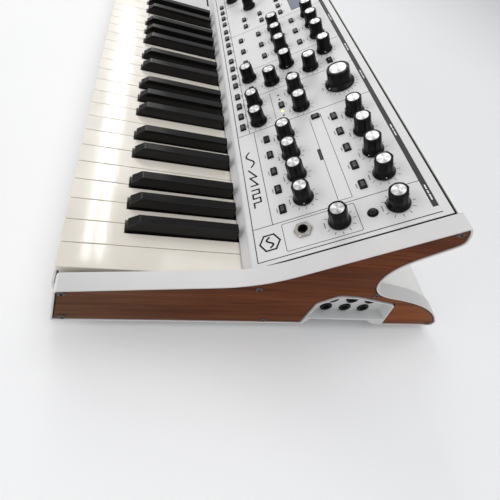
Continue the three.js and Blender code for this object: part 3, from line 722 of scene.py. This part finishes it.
def make_sockets():
    jack = socket_mesh("jack_socket", 5.9, 3.2, 12)
    data = socket_mesh("data_socket", 7.8, 6.2, 5)
    for side, places in JACKS.items():
        for n, (y, z) in enumerate(places):
            piece = link(f"{side}_jack_socket_{n + 1}", jack, matrix=face_outwards(side, y, z))
            case_piece(piece, slot="black_controls")
    pin = turned("data_pin", [(0, -5), (0.5, -5), (0.5, -1), (0, -0.6)], 10, [CHROME])
    for n, y in enumerate(ROUND_PORTS):
        piece = link(f"round_data_port_{n + 1}", data, matrix=face_outwards("left", y, PORT_HEIGHT))
        case_piece(piece, slot="black_controls")
        for k in range(5):
            a = math.radians(45 * k)
            place = face_outwards("left", y + 3.6 * math.cos(a), PORT_HEIGHT + 3.6 * math.sin(a))
            case_piece(link(f"data_pin_{n + 1}_{k + 1}", pin, matrix=place))
    x = SIDES["left"]
    for name, port, depth, wall in (
        ("square_data_port", SQUARE_PORT, 9, 1.2),
        ("mains_inlet", INLET, 14, 2),
        ("rocker_housing", ROCKER, 13, 1.6),
    ):
        reach = (x(POD_BACK - depth - 1), x(POD_INSIDE + 1.2))
        body = block(name, reach, *around(port, wall), SOCKET_BLACK)
        well = block("cutter", (x(POD_BACK - depth), x(POD_INSIDE + 3)), *around(port, 0), SOCKET_BLACK)
        case_piece(finished(body, 0.4, 2, 40, cutters=[well]), slot="black_controls")
    for n, dy in enumerate((-6.5, 0, 6.5)):
        reach = (x(POD_BACK - 15), x(POD_INSIDE - 3))
        pin = block(f"inlet_pin_{n + 1}", reach, *around((INLET[0] + dy, INLET[1], 2, 4), 0), CHROME)
        case_piece(finished(pin, 0.4, 2, 40))


def make_rocker():
    """The power switch's rocker, dished along its middle and tipped to its off side."""
    y, z, width, height = ROCKER
    across, half = width - 1.2, height / 2 - 1.4
    outline = [(-5, 4 - half), (4.6, -half), (3.2, 0), (4.6, half), (-5, half - 4)]
    near, far = ([(a, side * across / 2, b) for a, b in outline] for side in (-1, 1))
    mesh = skin("rocker_cap", near, far)
    x = SIDES["left"](POD_INSIDE - 3)
    mirror = Matrix.Scale(-1, 4, (1, 0, 0))
    tipped = Matrix.Rotation(math.radians(7), 4, "Y")
    mesh.transform(TO_FRAME @ Matrix.Translation((x, y, z)) @ tipped @ mirror)
    mesh.flip_normals()
    moving_piece(finished(link("rocker_cap", mesh, KNOB_BLACK), 0.5, 3, 30), "power_rocker")


# ---- controls: where they are

ROW = {"bank": -52.3, "low": -33.5, "amp": -9.5, "lower": -8, "middle": 14.5, "upper": 39, "top": 61.5}
KNOB = {"skirt": 9.6, "barrel": 7.8, "height": 18}
BIG_KNOB = {"skirt": 15.5, "barrel": 12, "height": 18.6}
BUTTON = (9.4, 5.6)
BUTTON_ROOM = 0.4
TALL_BUTTON = (6.2, 7.8)


def row(first, step, count, v):
    return [(first + step * i, v) for i in range(count)]


OUTPUT_COLUMN = -21
ENVELOPE_KNOBS = (-57.1, -29.35, 4)
ENVELOPE_BUTTONS = (-51.8, -24.45, 5)
FILTER_COLUMNS = (-182.3, -215)
MIXER_COLUMNS = (-246.3, -270.3)
MIXER_ROWS = ("top", "upper", "middle", "lower", "low")
OSCILLATOR_COLUMNS = (-308.5, -338.5, -368.5)
DISPLAY_COLUMN = -436
PROGRAM_BUTTONS = (DISPLAY_COLUMN + 32, -21.3)
MODULATION_COLUMNS = (-504, -532, -564, -592)
GLIDE_COLUMN = -624
CUTOFF = (-198.4, 60.7)
MASTER_VOLUME = (OUTPUT_COLUMN, 61)
HEADPHONE_VOLUME = (OUTPUT_COLUMN, 13.6)
VALUE_KNOB = (-458, -10)
MUTE = (OUTPUT_COLUMN + 1.2, 40.3)
HEADPHONE_SOCKET = (OUTPUT_COLUMN - 2, -17)
DISPLAY = (DISPLAY_COLUMN, 58, 78, 26)

FIXED_KNOBS = {
    "filter_envelope_knob": row(*ENVELOPE_KNOBS, ROW["top"]),
    "loudness_envelope_knob": row(*ENVELOPE_KNOBS, ROW["amp"]),
    "filter_knob": [(u, ROW[r]) for u in FILTER_COLUMNS for r in ("middle", "low")],
    "mixer_knob": [(MIXER_COLUMNS[n % 2 == 0], ROW[r]) for n, r in enumerate(MIXER_ROWS)],
    "oscillator_knob": [(u, ROW[r]) for u in OSCILLATOR_COLUMNS for r in ("top", "middle")],
    "modulation_knob": [(u, ROW[r]) for u in MODULATION_COLUMNS for r in ("top", "middle", "low")],
    "glide_knob": [(GLIDE_COLUMN, ROW[r]) for r in ("top", "middle", "low")],
}

FIXED_BUTTONS = {
    "bank_button": [p for g in range(4) for p in row(-182.2 - g * 84.4, -19.95, 4, ROW["bank"])],
    "filter_envelope_button": row(*ENVELOPE_BUTTONS, 41.6),
    "loudness_envelope_button": row(*ENVELOPE_BUTTONS, -29.9),
    "filter_button": [(-159, 24.6), (-197.3, -4.9)],
    "mixer_button": [(MIXER_COLUMNS[n % 2], ROW[r]) for n, r in enumerate(MIXER_ROWS)],
    "oscillator_button": [(u, ROW[r]) for r in ("upper", "lower", "low") for u in OSCILLATOR_COLUMNS],
    "program_button": [
        p for count, v in ((4, 30), (2, 2), (2, -22)) for p in row(*PROGRAM_BUTTONS, count, v)
    ],
    "modulation_button": [(u, ROW[r]) for u in MODULATION_COLUMNS for r in ("upper", "lower")],
    "glide_button": [(GLIDE_COLUMN, ROW[r]) for r in ("upper", "lower")],
}


def panel_buttons():
    """The family, number, place and size of each button without a joint."""
    for family, places in FIXED_BUTTONS.items():
        for n, place in enumerate(places, 1):
            yield family, n, place, TALL_BUTTON if (family, n) == ("filter_button", 1) else BUTTON


MOVING_KNOBS = (CUTOFF, MASTER_VOLUME, HEADPHONE_VOLUME, VALUE_KNOB)


def knob_places():
    return [place for places in FIXED_KNOBS.values() for place in places]

# ---- controls: pieces


def knob_mesh(name, skirt, barrel, height):
    """A softly fluted black knob with a narrow skirt and a spun metal cap inside a black rim."""
    cap = barrel * 0.73
    rings = [(0, 0.8), (skirt - 0.4, 0.8), (skirt, 1.1), (skirt, 2.0), (skirt - 0.3, 2.5)]
    rings += [(barrel + 0.9, 3.9), (barrel + 0.35, 5.4, 1), (barrel + 0.1, 8, 1), (barrel, height - 0.9, 1)]
    rings += [(barrel - 0.15, height - 0.4, 1), (barrel - 0.6, height - 0.05), (cap + 0.45, height)]
    rings += [(cap + 0.15, height - 0.25), (cap, height - 0.25), (cap - 0.2, height - 0.05)]
    rings += [(cap * 0.5, height), (0, height)]
    return turned(name, rings, 96, [KNOB_BLACK, CAP], 0.45, 8, cap_from=13)


def pointer_mesh(skirt):
    """The nose on a knob's skirt with its white dot, joined into one mesh."""
    shape = bmesh.new()
    bmesh.ops.create_cube(shape, size=1)
    bmesh.ops.scale(shape, vec=(2.2, 3.4, 1.9), verts=shape.verts)
    bmesh.ops.translate(shape, vec=(0, skirt - 0.9, 2.0), verts=shape.verts)
    bmesh.ops.bevel(shape, geom=shape.edges[:], offset=0.45, segments=2, affect="EDGES")
    nose = set(shape.faces)
    dot = bmesh.ops.create_uvsphere(shape, u_segments=14, v_segments=8, radius=0.85)["verts"]
    bmesh.ops.scale(shape, vec=(1, 1, 0.5), verts=dot)
    bmesh.ops.translate(shape, vec=(0, skirt - 1.0, 2.9), verts=dot)
    for face in shape.faces:
        face.material_index = face not in nose
    return mesh_of("knob_pointer", shape, KNOB_BLACK, DOT_WHITE)


def add_knob(name, meshes, place, body, turn, replaced):
    """A knob's body and its pointer, which is turned to a setting."""
    knob = link(name, meshes[0], matrix=stand_on_panel(*place))
    nose = link(name + "_pointer", meshes[1], matrix=stand_on_panel(*place, turn=turn))
    for piece in (knob, nose):
        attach(piece, body)
    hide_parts(replaced)


def make_knobs():
    dice = random.Random(37)
    small, big = (
        (knob_mesh(name, *size.values()), pointer_mesh(size["skirt"]))
        for name, size in (("small_knob", KNOB), ("big_knob", BIG_KNOB))
    )
    for family, places in FIXED_KNOBS.items():
        for n, place in enumerate(places):
            turn = math.radians(dice.choice((-130, -95, -60, 0, 40, 75, 110, 135)))
            add_knob(f"{family}_{n + 1}", small, place, "case", turn, "control_board")
    for node, meshes, place, degrees in (
        ("master_volume_knob", small, MASTER_VOLUME, 160),
        ("headphone_volume_knob", small, HEADPHONE_VOLUME, 130),
        ("value_knob", small, VALUE_KNOB, 20),
        ("cutoff_knob", big, CUTOFF, -150),
    ):
        add_knob(node + "_cap", meshes, place, node, math.radians(degrees), node)


def button_mesh(name, width, height, rise):
    """A rounded button with a shallow dish, whose middle takes a lighter grey than its rim as a painted
    highlight.
    """
    shape = bmesh.new()
    bmesh.ops.create_grid(shape, x_segments=10, y_segments=8, size=0.5)
    bmesh.ops.scale(shape, vec=(width, height, 1), verts=shape.verts)
    for vert in shape.verts:
        dish = (2 * vert.co.x / width) ** 2 + (2 * vert.co.y / height) ** 2
        vert.co.z = rise - 0.35 + 0.2 * min(dish, 1.5)
    # Painted highlight: the faces in the middle of the dish take the lighter grey.
    for face in shape.faces:
        middle = face.calc_center_median()
        face.material_index = abs(middle.x) < 0.3 * width and abs(middle.y) < 0.27 * height
    bottom = bmesh.ops.extrude_face_region(shape, geom=shape.faces[:])["geom"]
    for vert in (g for g in bottom if isinstance(g, bmesh.types.BMVert)):
        vert.co.z = -6
    mesh = mesh_of(name, shape, KNOB_BLACK, BUTTON_GREY)
    return mesh_alone(finished(link(name + "_master", mesh, matrix=ON_PANEL), 0.5, 3, 50))


def mesh_alone(piece):
    """Takes a piece out of the scene and keeps its mesh."""
    mesh = piece.data
    bpy.data.objects.remove(piece)
    return mesh


def make_buttons():
    named = (("button", BUTTON), ("tall_button", TALL_BUTTON))
    meshes = {size: button_mesh(name, *size, 2) for name, size in named}
    dark = meshes[BUTTON].copy()
    dark.materials.clear()
    dark.materials.append(KNOB_BLACK)
    for family, n, place, size in panel_buttons():
        mesh = dark if (family, n) == ("loudness_envelope_button", 5) else meshes[size]
        piece = link(f"{family}_{n}", mesh, matrix=stand_on_panel(*place))
        case_piece(piece, "control_board", slot="black_controls")
    rings = [(0, -6), (3.3, -6), (3.3, 2.0), (3.1, 2.6), (2.5, 3.0), (1.4, 3.2), (0, 3.3)]
    cap = turned("mute_cap", rings, 40, [GLOSS_BLACK])
    moving_piece(link("mute_button_cap", cap, matrix=stand_on_panel(*MUTE)), "mute_button")
    rings = [(3.6, 0.02), (4.5, 0.02), (4.4, 0.6), (4.1, 0.9), (3.6, 0.7), (3.6, 0.02)]
    ring = turned("mute_ring", rings, 40, [GLOSS_BLACK])
    case_piece(link("mute_bezel", ring, matrix=stand_on_panel(*MUTE)))


def make_lamps():
    rings = [(0, -3), (1.2, -3), (1.2, 0.3), (0.8, 0.75), (0, 0.9)]
    off, on = (turned("lamp", rings, 16, [material]) for material in (LAMP_OFF, YELLOW))
    for n, u in enumerate((-217, -208.6, -186.8, -179.2)):
        case_piece(link(f"slope_lamp_{n + 1}", on if n == 2 else off, matrix=stand_on_panel(u, -5.6)))


def make_headphone_socket():
    nut = nut_mesh("socket_nut", 14, 4.4, 2.2)
    case_piece(link("headphone_nut", nut, matrix=stand_on_panel(*HEADPHONE_SOCKET, w=0.1)))
    rings = [(0, -12), (4.6, -12), (4.6, -2.4), (4.2, -2.4), (4.2, 2.7), (4.0, 3.1), (3.5, 3.1)]
    rings += [(3.2, 2.7), (3.2, -10), (0, -10)]
    bush = turned("socket_bush", rings, 40, [SOCKET_BLACK])
    case_piece(link("headphone_bush", bush, matrix=stand_on_panel(*HEADPHONE_SOCKET)))


def slab(name, u, v, w, material, bevel=0.3):
    """A box on the panel, given by its (low, high) along u, v and w."""
    shape = bmesh.new()
    middle = Matrix.Translation([sum(reach) / 2 for reach in (u, v, w)])
    size = Matrix.Diagonal([reach[1] - reach[0] for reach in (u, v, w)] + [1])
    bmesh.ops.create_cube(shape, size=1, matrix=middle @ size)
    return finished(link(name, mesh_of(name, shape, material), matrix=ON_PANEL), bevel, 2)


def make_board():
    """The circuit board and its potentiometers, seen only through gaps."""
    board = slab("control_circuit_board", (INNER_LEFT + 8, INNER_RIGHT - 8), (-57, 69), (-16, -14), BOARD)
    case_piece(board, "control_board")
    pot = mesh_alone(slab("potentiometer_master", (-5.5, 5.5), (-5.5, 5.5), (-13.8, -6.2), STEEL, 0.5))
    for n, place in enumerate([*knob_places(), *MOVING_KNOBS]):
        case_piece(link(f"potentiometer_{n + 1}", pot, matrix=stand_on_panel(*place)))


def make_display():
    u, v, width, height = DISPLAY
    half, tall = width / 2, height / 2
    reach = ((u - half + 2, u + half - 2), (v - tall + 2, v + tall - 2))
    screen = slab("display_screen", *reach, (-3.4, -2.6), SCREEN)
    case_piece(screen)
    half, tall = half - GAP, tall - GAP
    pane = slab("display_pane", (u - half, u + half), (v - tall, v + tall), (-1.6, 0.2), GLASS)
    case_piece(pane, "display_window", slot="display_glass")


# ---- panel print


def thin_bars(name, bars, material, rise=0.05):
    """Printed lines as one mesh of very thin bars: (u, v, length, width, angle)."""
    shape = bmesh.new()
    for u, v, length, width, angle in bars:
        turn = Matrix.Translation((u, v, rise / 2)) @ Matrix.Rotation(angle, 4, "Z")
        size = Matrix.Diagonal((length, width, rise, 1))
        bmesh.ops.create_cube(shape, size=1, matrix=turn @ size)
    mesh = mesh_of(name, shape, material, smooth=False)
    return case_piece(link(name, mesh, matrix=ON_PANEL @ Matrix.Translation((0, 0, 0.02))))


def line(u0, v0, u1, v1, width):
    length = math.hypot(u1 - u0, v1 - v0)
    angle = math.atan2(v1 - v0, u1 - u0)
    return ((u0 + u1) / 2, (v0 + v1) / 2, length + width, width, angle)


BORDER = {"left": -637, "right": -2.8, "low": -60, "high": 82.9}
BAND_HEIGHT = 4.4
BAND_RIGHT = -9
OUTPUT_EDGE = -38
ENVELOPE_EDGE = -168.5
SECTION_EDGES = (-231, -289, -389, -486, -548, -608)
NAME_LINE = -41.5
BANK_LINE = -46.2
PHONES_BOX = (-35.2, -6.3, -34, 29)
TITLE_BOX = (-160, -42, 18.2, 30)
MARK = (-20.2, -46.8)
MARK_RADIUS = 9


def trail(points, width):
    """Bars joining points one after another."""
    return [line(*a, *b, width) for a, b in zip(points, points[1:])]


def boxed(u0, u1, v0, v1, radius, width):
    """Bars round a box with round corners."""
    points = []
    for turn, (u, v) in enumerate(((u1, v1), (u0, v1), (u0, v0), (u1, v0))):
        u += radius if u == u0 else -radius
        v += radius if v == v0 else -radius
        for k in range(5):
            a = math.pi / 2 * (turn + k / 4)
            points.append((u + radius * math.cos(a), v + radius * math.sin(a)))
    return trail(points + points[:1], width)


def panel_lines():
    left, right, low, high = (BORDER[side] for side in ("left", "right", "low", "high"))
    top = high + BAND_HEIGHT
    bars = trail([(left, top), (left, low), (right, low), (right, top)], 0.8)
    bars += [line(u, low, u, high, 0.6) for u in (OUTPUT_EDGE, ENVELOPE_EDGE)]
    bars += [line(u, BANK_LINE, u, high, 0.5) for u in SECTION_EDGES]
    bars += [line(ENVELOPE_EDGE, NAME_LINE, OUTPUT_EDGE, NAME_LINE, 0.6)]
    bars += [line(left, BANK_LINE, ENVELOPE_EDGE, BANK_LINE, 0.6)]
    bars += boxed(*PHONES_BOX, 1.5, 0.5)
    u0, u1, v0, v1 = TITLE_BOX
    bars += trail([(u0 + 2, v0), (u1, v0), (u1, v1), (u0, v1)], 0.45)
    bars += [line(-226, -14.5, -178, -14.5, 0.45)]
    return bars


def wave_marks():
    """Plain emblems: a hexagon round a sine wave, then a sine, a ramp and a square wave."""
    u, v = MARK
    turns = [k * math.pi / 3 for k in range(7)]
    bars = trail([(u + MARK_RADIUS * math.sin(a), v + MARK_RADIUS * math.cos(a)) for a in turns], 1.5)
    for middle, height, reach, width, scale in ((u, v, 5.2, 1.5, 0.5), (-128, -51, 11, 1.6, 0.32)):
        steps = [k / 12 for k in range(-12, 13)]
        wave = [(middle + reach * t, height + reach * scale * math.sin(math.pi * t)) for t in steps]
        bars += trail(wave, width)
    low, high = -54.4, -47.6
    bars += trail([(-113, low), (-102, high), (-102, low), (-91, high), (-91, low)], 1.6)
    steps = [(-85 + 5.5 * (k // 2), (low, high, high, low)[k % 4]) for k in range(9)]
    return bars + trail(steps, 1.6)


def dial_ticks(place, skirt, count=11):
    """Marks round a knob, and a dash for its name where the dial is open."""
    bars = [(place[0], place[1] - skirt - 3, 6, 0.6, 0)]
    for i in range(count):
        angle = math.radians(90 - 150 + 300 * i / (count - 1))
        middle = skirt + 2.6
        u, v = place[0] + middle * math.cos(angle), place[1] + middle * math.sin(angle)
        bars.append((u, v, 2.6, 0.45, angle))
    return bars


def make_print():
    bars = panel_lines() + wave_marks()
    for place in [*knob_places(), MASTER_VOLUME, HEADPHONE_VOLUME, VALUE_KNOB]:
        bars += dial_ticks(place, KNOB["skirt"])
    bars += dial_ticks(CUTOFF, BIG_KNOB["skirt"], 21)
    gap_shade_sheets = []
    for family, n, (u, v), (width, height) in panel_buttons():
        bars.append((u, v - 5.2 if "envelope" in family else v + 5.2, 5, 0.6, 0))
        # Painted shade: a black sheet a little wider than the button's hole, so the gap round the button
        # reads dark.
        gap_shade_sheets.append((u, v, width + 0.9, height + 0.9, 0))
    thin_bars("panel_print", bars, INK)
    thin_bars("button_gap_shade", gap_shade_sheets, INK, 0.08)
    thin_bars("envelope_slot_print", [(-103.2, 16.8, 15.5, 3.4, 0)], BAND, 0.08)
    left = BORDER["left"]
    middle = BORDER["high"] + BAND_HEIGHT / 2
    band = ((left + BAND_RIGHT) / 2, middle, BAND_RIGHT - left, BAND_HEIGHT, 0)
    thin_bars("panel_header_band", [band], BAND)
    edges = (BAND_RIGHT, OUTPUT_EDGE, ENVELOPE_EDGE, *SECTION_EDGES, left)
    dashes = []
    for a, b in zip(edges, edges[1:]):
        for shift, long in ((-6.2, 5), (-1, 3.2), (4.6, 6)):
            dashes.append(((a + b) / 2 + shift, middle, long, 0.9, 0))
    thin_bars("header_dashes", dashes, PALE, 0.09)


# ---- sheet metal


def rounded_hole(u, v, width, height, radius=0.9):
    """A cutter for a hole with round corners through the panel."""
    shape = bmesh.new()
    bmesh.ops.create_cube(shape, size=1)
    bmesh.ops.scale(shape, vec=(width, height, 8), verts=shape.verts)
    upright = [e for e in shape.edges if abs(e.verts[0].co.z - e.verts[1].co.z) > 1]
    bmesh.ops.bevel(shape, geom=upright, offset=radius, segments=3, affect="EDGES")
    bmesh.ops.translate(shape, vec=(u, v, 0), verts=shape.verts)
    return shape


def round_hole(u, v, radius):
    shape = bmesh.new()
    bmesh.ops.create_cone(shape, cap_ends=True, segments=24, radius1=radius, radius2=radius, depth=8)
    bmesh.ops.translate(shape, vec=(u, v, 0), verts=shape.verts)
    return shape


def merged(name, shapes, matrix):
    """Several cutters, none of which touch, as one object."""
    whole = bmesh.new()
    for shape in shapes:
        mesh = bpy.data.meshes.new("part")
        shape.to_mesh(mesh)
        shape.free()
        whole.from_mesh(mesh)
        bpy.data.meshes.remove(mesh)
    return link(name, mesh_of(name, whole, SILVER), matrix=matrix)


def make_panel():
    lip = (145.6, 2)
    before = panel_point(PANEL_LOW - 1.8, -2.6)
    after = panel_point(PANEL_LOW + 3, 0)
    corner = panel_point(PANEL_LOW, 0)
    face = [lip, before, *curve(before, corner, after, 6), panel_point(PANEL_HIGH, 0)]
    under = offset(face, SHEET, closed=False)
    ends = (INNER_LEFT + EDGE_GAP, INNER_RIGHT - EDGE_GAP)
    sheet = prism_x("control_panel_sheet", face + under[::-1], *ends, PANEL_SILVER)
    room = 2 * BUTTON_ROOM
    holes = [rounded_hole(*place, size[0] + room, size[1] + room) for *_, place, size in panel_buttons()]
    holes += [round_hole(*place, 4) for place in [*knob_places(), *MOVING_KNOBS]]
    holes += [round_hole(*MUTE, 3.8), round_hole(*HEADPHONE_SOCKET, 4.9)]
    holes += [rounded_hole(*DISPLAY, 0.2)]
    finished(sheet, 0.3, 2, 35, cutters=[merged("cutter", holes, ON_PANEL)])
    case_piece(sheet, "control_panel", slot="panel_silver")
    side_reach = (PANEL_LOW + 8, PANEL_HIGH)
    rear_reach = (PANEL_HIGH + 0.1, PANEL_HIGH + 1.5)
    # Dark strips under the gaps round the panel: painted shade, so that the gaps read dark.
    for name, u, v, w in (
        ("rear_gap_shade", (INNER_LEFT + 3, INNER_RIGHT - 3), rear_reach, (-3, -0.4)),
        ("right_gap_shade", (INNER_RIGHT - 2.5, INNER_RIGHT - 1.1), side_reach, (-3, -0.1)),
        ("left_gap_shade", (INNER_LEFT + 1.1, INNER_LEFT + 2.5), side_reach, (-3, -0.1)),
    ):
        case_piece(slab(name, u, v, w, RUBBER, 0.1))


def make_rear_cover():
    path = [panel_point(PANEL_HIGH + 1.6, 0.8), WING_TOP, *rear_curve()]
    path += [(CASE_REAR, CASE_BOTTOM + SHEET + 0.7)]
    outer = offset(path, 1.4, closed=False)
    inner = offset(outer, SHEET, closed=False)
    cover = prism_x("rear_cover_sheet", outer + inner[::-1], INNER_LEFT + GAP, INNER_RIGHT - GAP, PALE)
    finished(cover, 0.3, 2, 40)
    case_piece(cover, "rear_cover", slot="pale_sheet")


def make_tray():
    bottom = CASE_BOTTOM + 0.2
    outline = [(CASE_FRONT + 0.7, bottom), (CASE_REAR - 1.6, bottom), (CASE_REAR - 1.6, bottom + SHEET)]
    outline += [(CASE_FRONT + 3, bottom + SHEET), (-0.9, -17), (-2.9, -17)]
    tray = prism_x("base_tray_sheet", outline, INNER_LEFT + GAP, INNER_RIGHT - GAP, SILVER)
    finished(tray, 0.4, 2, 40)
    case_piece(tray, "base_tray", slot="dark_sheet")
    height = bottom - FLOOR
    rings = [(0, 0), (3, 0), (3, 2), (4.2, 2), (4.2, 0), (8.6, 0), (9.5, 0.8), (11, height), (0, height)]
    foot = turned("rubber_foot", rings, 40, [RUBBER])
    for n, (x, y) in enumerate([(a, b) for a in (-50, CASE_LEFT + 70) for b in (38, 330)]):
        matrix = TO_FRAME @ Matrix.Translation((x, y, FLOOR))
        case_piece(link(f"rubber_foot_{n + 1}", foot, matrix=matrix), "base_tray")


# ---- performance section

PERFORMANCE_RIGHT = -KEYS_WIDTH - 3
WHEEL_AXIS = (82, -15)
WHEEL_RADIUS = 28
WHEEL_WIDTH = 11
WHEELS = {"pitch_wheel": -612, "modulation_wheel": -574}
OCTAVE_BUTTONS = {"octave_down_button": -612, "octave_up_button": -574}
OCTAVE_Y = 128


def make_performance_panel():
    top, deep, front = 0.6, -22, 2.4
    outline = [(front, deep), (front, -1), *curve((front, -1), (front, top), (4, top), 4)]
    outline += [(KEY_VISIBLE, top), (KEY_VISIBLE, deep), (KEY_VISIBLE - SHEET, deep)]
    outline += [(KEY_VISIBLE - SHEET, top - SHEET), (4.6, top - SHEET)]
    outline += [(front + SHEET, -2), (front + SHEET, deep)]
    sheet = prism_x("performance_plate", outline, INNER_LEFT + GAP, PERFORMANCE_RIGHT, PANEL_SILVER)
    cutters = []
    for places, half, y, reach, low in (
        (WHEELS, 6.5, WHEEL_AXIS[0], WHEEL_RADIUS, -3),
        (OCTAVE_BUTTONS, 6, OCTAVE_Y, 4, -4),
    ):
        for x in places.values():
            cutters.append(block("cutter", (x - half, x + half), (y - reach, y + reach), (low, 3), SILVER))
    finished(sheet, 0.35, 2, 35, cutters=cutters)
    case_piece(sheet, "performance_panel", slot="panel_silver")
    y = WHEEL_AXIS[0]
    for n, x in enumerate((-630, -593, -556)):
        plate = block(f"wheel_bracket_{n + 1}", (x - 1.5, x + 1.5), (y - 12, y + 12), (-26, -1.6), DARK_SHEET)
        case_piece(finished(plate, 0.4, 2), "performance_panel")
    axle = turned("wheel_axle", [(0, 0), (2.6, 0), (2.6, 74), (0, 74)], 24, [CHROME])
    matrix = TO_FRAME @ Matrix.Translation((-630, *WHEEL_AXIS)) @ Matrix.Rotation(math.pi / 2, 4, "Y")
    case_piece(link("wheel_axle", axle, matrix=matrix))


def make_wheel(name, x):
    """A ribbed wheel with a smooth thumb notch at its top, its ribs running across the rim."""
    segments = 180
    half, rim = WHEEL_WIDTH / 2, WHEEL_RADIUS
    profile = [(3.2, -half), (rim - 8, -half), (rim - 7.5, 0.8 - half), (rim - 2, 0.8 - half)]
    profile += [(rim - 1.4, -half), (rim - 0.7, -half), (rim, 0.9 - half)]
    profile += [(radius, -across) for radius, across in reversed(profile)]
    shape = bmesh.new()
    loops = []
    for k in range(segments):
        a = 2 * math.pi * k / segments
        rib = 0.22 * math.cos(60 * a)
        away = (a - math.pi / 2) / math.radians(17)
        dip = 3.2 * math.cos(away * math.pi / 2) ** 2 if abs(away) < 1 else 0
        loop = []
        for radius, across in profile:
            r = radius
            if radius > rim - 1.5:
                r -= dip + (0.22 - rib if radius > rim - 0.5 and dip < 0.1 else 0)
            loop.append(shape.verts.new((across, r * math.cos(a), r * math.sin(a))))
        loops.append(loop)
    tie(shape, loops)
    mesh = mesh_of(name + "_rim", shape, WHEEL_BLACK, sharp=40)
    moving_piece(link(name + "_rim", mesh, matrix=TO_FRAME @ Matrix.Translation((x, *WHEEL_AXIS))), name)


def make_octave_buttons():
    for name, x in OCTAVE_BUTTONS.items():
        reach = ((x - 5.4, x + 5.4), (OCTAVE_Y - 3.4, OCTAVE_Y + 3.4))
        cap = block(name + "_cap", *reach, (-8, 2.8), BUTTON_GREY)
        moving_piece(finished(cap, 0.6, 3), name)


# ---- keyboard

NOTE_NAMES = ("c", "c_sharp", "d", "d_sharp", "e", "f", "f_sharp", "g", "g_sharp", "a", "a_sharp", "b")
SCALE_WHITES = (0, 2, 4, 5, 7, 9, 11)
BLACK_SHIFT = {1: -2.4, 3: 2.4, 6: -3.2, 8: 0, 10: 3.2}
SIDE_ROOM = 1


def key_name(note):
    return f"key_{NOTE_NAMES[note % 12]}_{note // 12 + 1}"


def is_black(note):
    return note % 12 in BLACK_SHIFT


def whites_below(note):
    return note // 12 * 7 + sum(n < note % 12 for n in SCALE_WHITES)


def black_middle(note):
    return -KEYS_WIDTH + whites_below(note) * WHITE_PITCH + BLACK_SHIFT[note % 12]


def make_white_key(note):
    left = -KEYS_WIDTH + whites_below(note) * WHITE_PITCH + KEY_GAP / 2
    right = left + WHITE_PITCH - KEY_GAP
    reach = BLACK_WIDTH / 2 + SIDE_ROOM
    tail_left = black_middle(note - 1) + reach if note > 0 and is_black(note - 1) else left
    tail_right = black_middle(note + 1) - reach if note < LAST_NOTE and is_black(note + 1) else right
    corner = 1.4
    plan = [(left, corner), *curve((left, corner), (left, 0), (left + corner, 0), 4)]
    plan += [(right - corner, 0), *curve((right - corner, 0), (right, 0), (right, corner), 4)]
    plan += [(right, HEAD_LENGTH)]
    if tail_right < right:
        plan.append((tail_right, HEAD_LENGTH))
    plan += [(tail_right, KEY_TAIL), (tail_left, KEY_TAIL)]
    if tail_left > left:
        plan += [(tail_left, HEAD_LENGTH), (left, HEAD_LENGTH)]
    name = key_name(note)
    top, base = ([at(x, y, z) for x, y in plan] for z in (0, -KEY_DEPTH))
    key = link(name + "_ivory", skin(name, top, base, IVORY))
    lip = block("cutter", (left - 1, right + 1), (-1, 2.5), (-KEY_DEPTH - 1, -6), IVORY)
    moving_piece(finished(key, 0.55, 3, 50, cutters=[lip]), name)


def make_black_key(note):
    middle = black_middle(note)
    shoulder = -3
    outline = [(BLACK_FRONT, -KEY_DEPTH), (BLACK_FRONT, shoulder), (BLACK_FRONT + 0.8, 4.5)]
    outline += [(BLACK_FRONT + 9.3, BLACK_HEIGHT - 0.3), (BLACK_FRONT + 11, BLACK_HEIGHT)]
    outline += [(KEY_VISIBLE, BLACK_HEIGHT), (KEY_VISIBLE, shoulder)]
    outline += [(KEY_TAIL, shoulder), (KEY_TAIL, -KEY_DEPTH)]
    near, far = [], []
    for y, z in outline:
        raised = max(z - shoulder, 0) / (BLACK_HEIGHT - shoulder)
        half = (BLACK_WIDTH + (BLACK_TOP_WIDTH - BLACK_WIDTH) * raised) / 2
        near.append(at(middle - half, y, z))
        far.append(at(middle + half, y, z))
    name = key_name(note)
    key = link(name + "_ebony", skin(name, near, far, EBONY))
    moving_piece(finished(key, 0.6, 3, 25), name)


def make_keybed():
    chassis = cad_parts["keybed_frame"]
    chassis.data.materials.clear()
    chassis.data.materials.append(DARK_SHEET)


# ---- assembly

make_camera()
make_studio()
for end in SIDES:
    make_end(end)
    make_end_screws(end)
    make_pod(end)
make_sockets()
make_rocker()
make_tray()
make_rear_cover()
make_panel()
make_print()
make_board()
make_knobs()
make_buttons()
make_lamps()
make_headphone_socket()
make_display()
make_performance_panel()
for wheel, wheel_x in WHEELS.items():
    make_wheel(wheel, wheel_x)
make_octave_buttons()
for number in range(LAST_NOTE + 1):
    if is_black(number):
        make_black_key(number)
    else:
        make_white_key(number)
make_keybed()
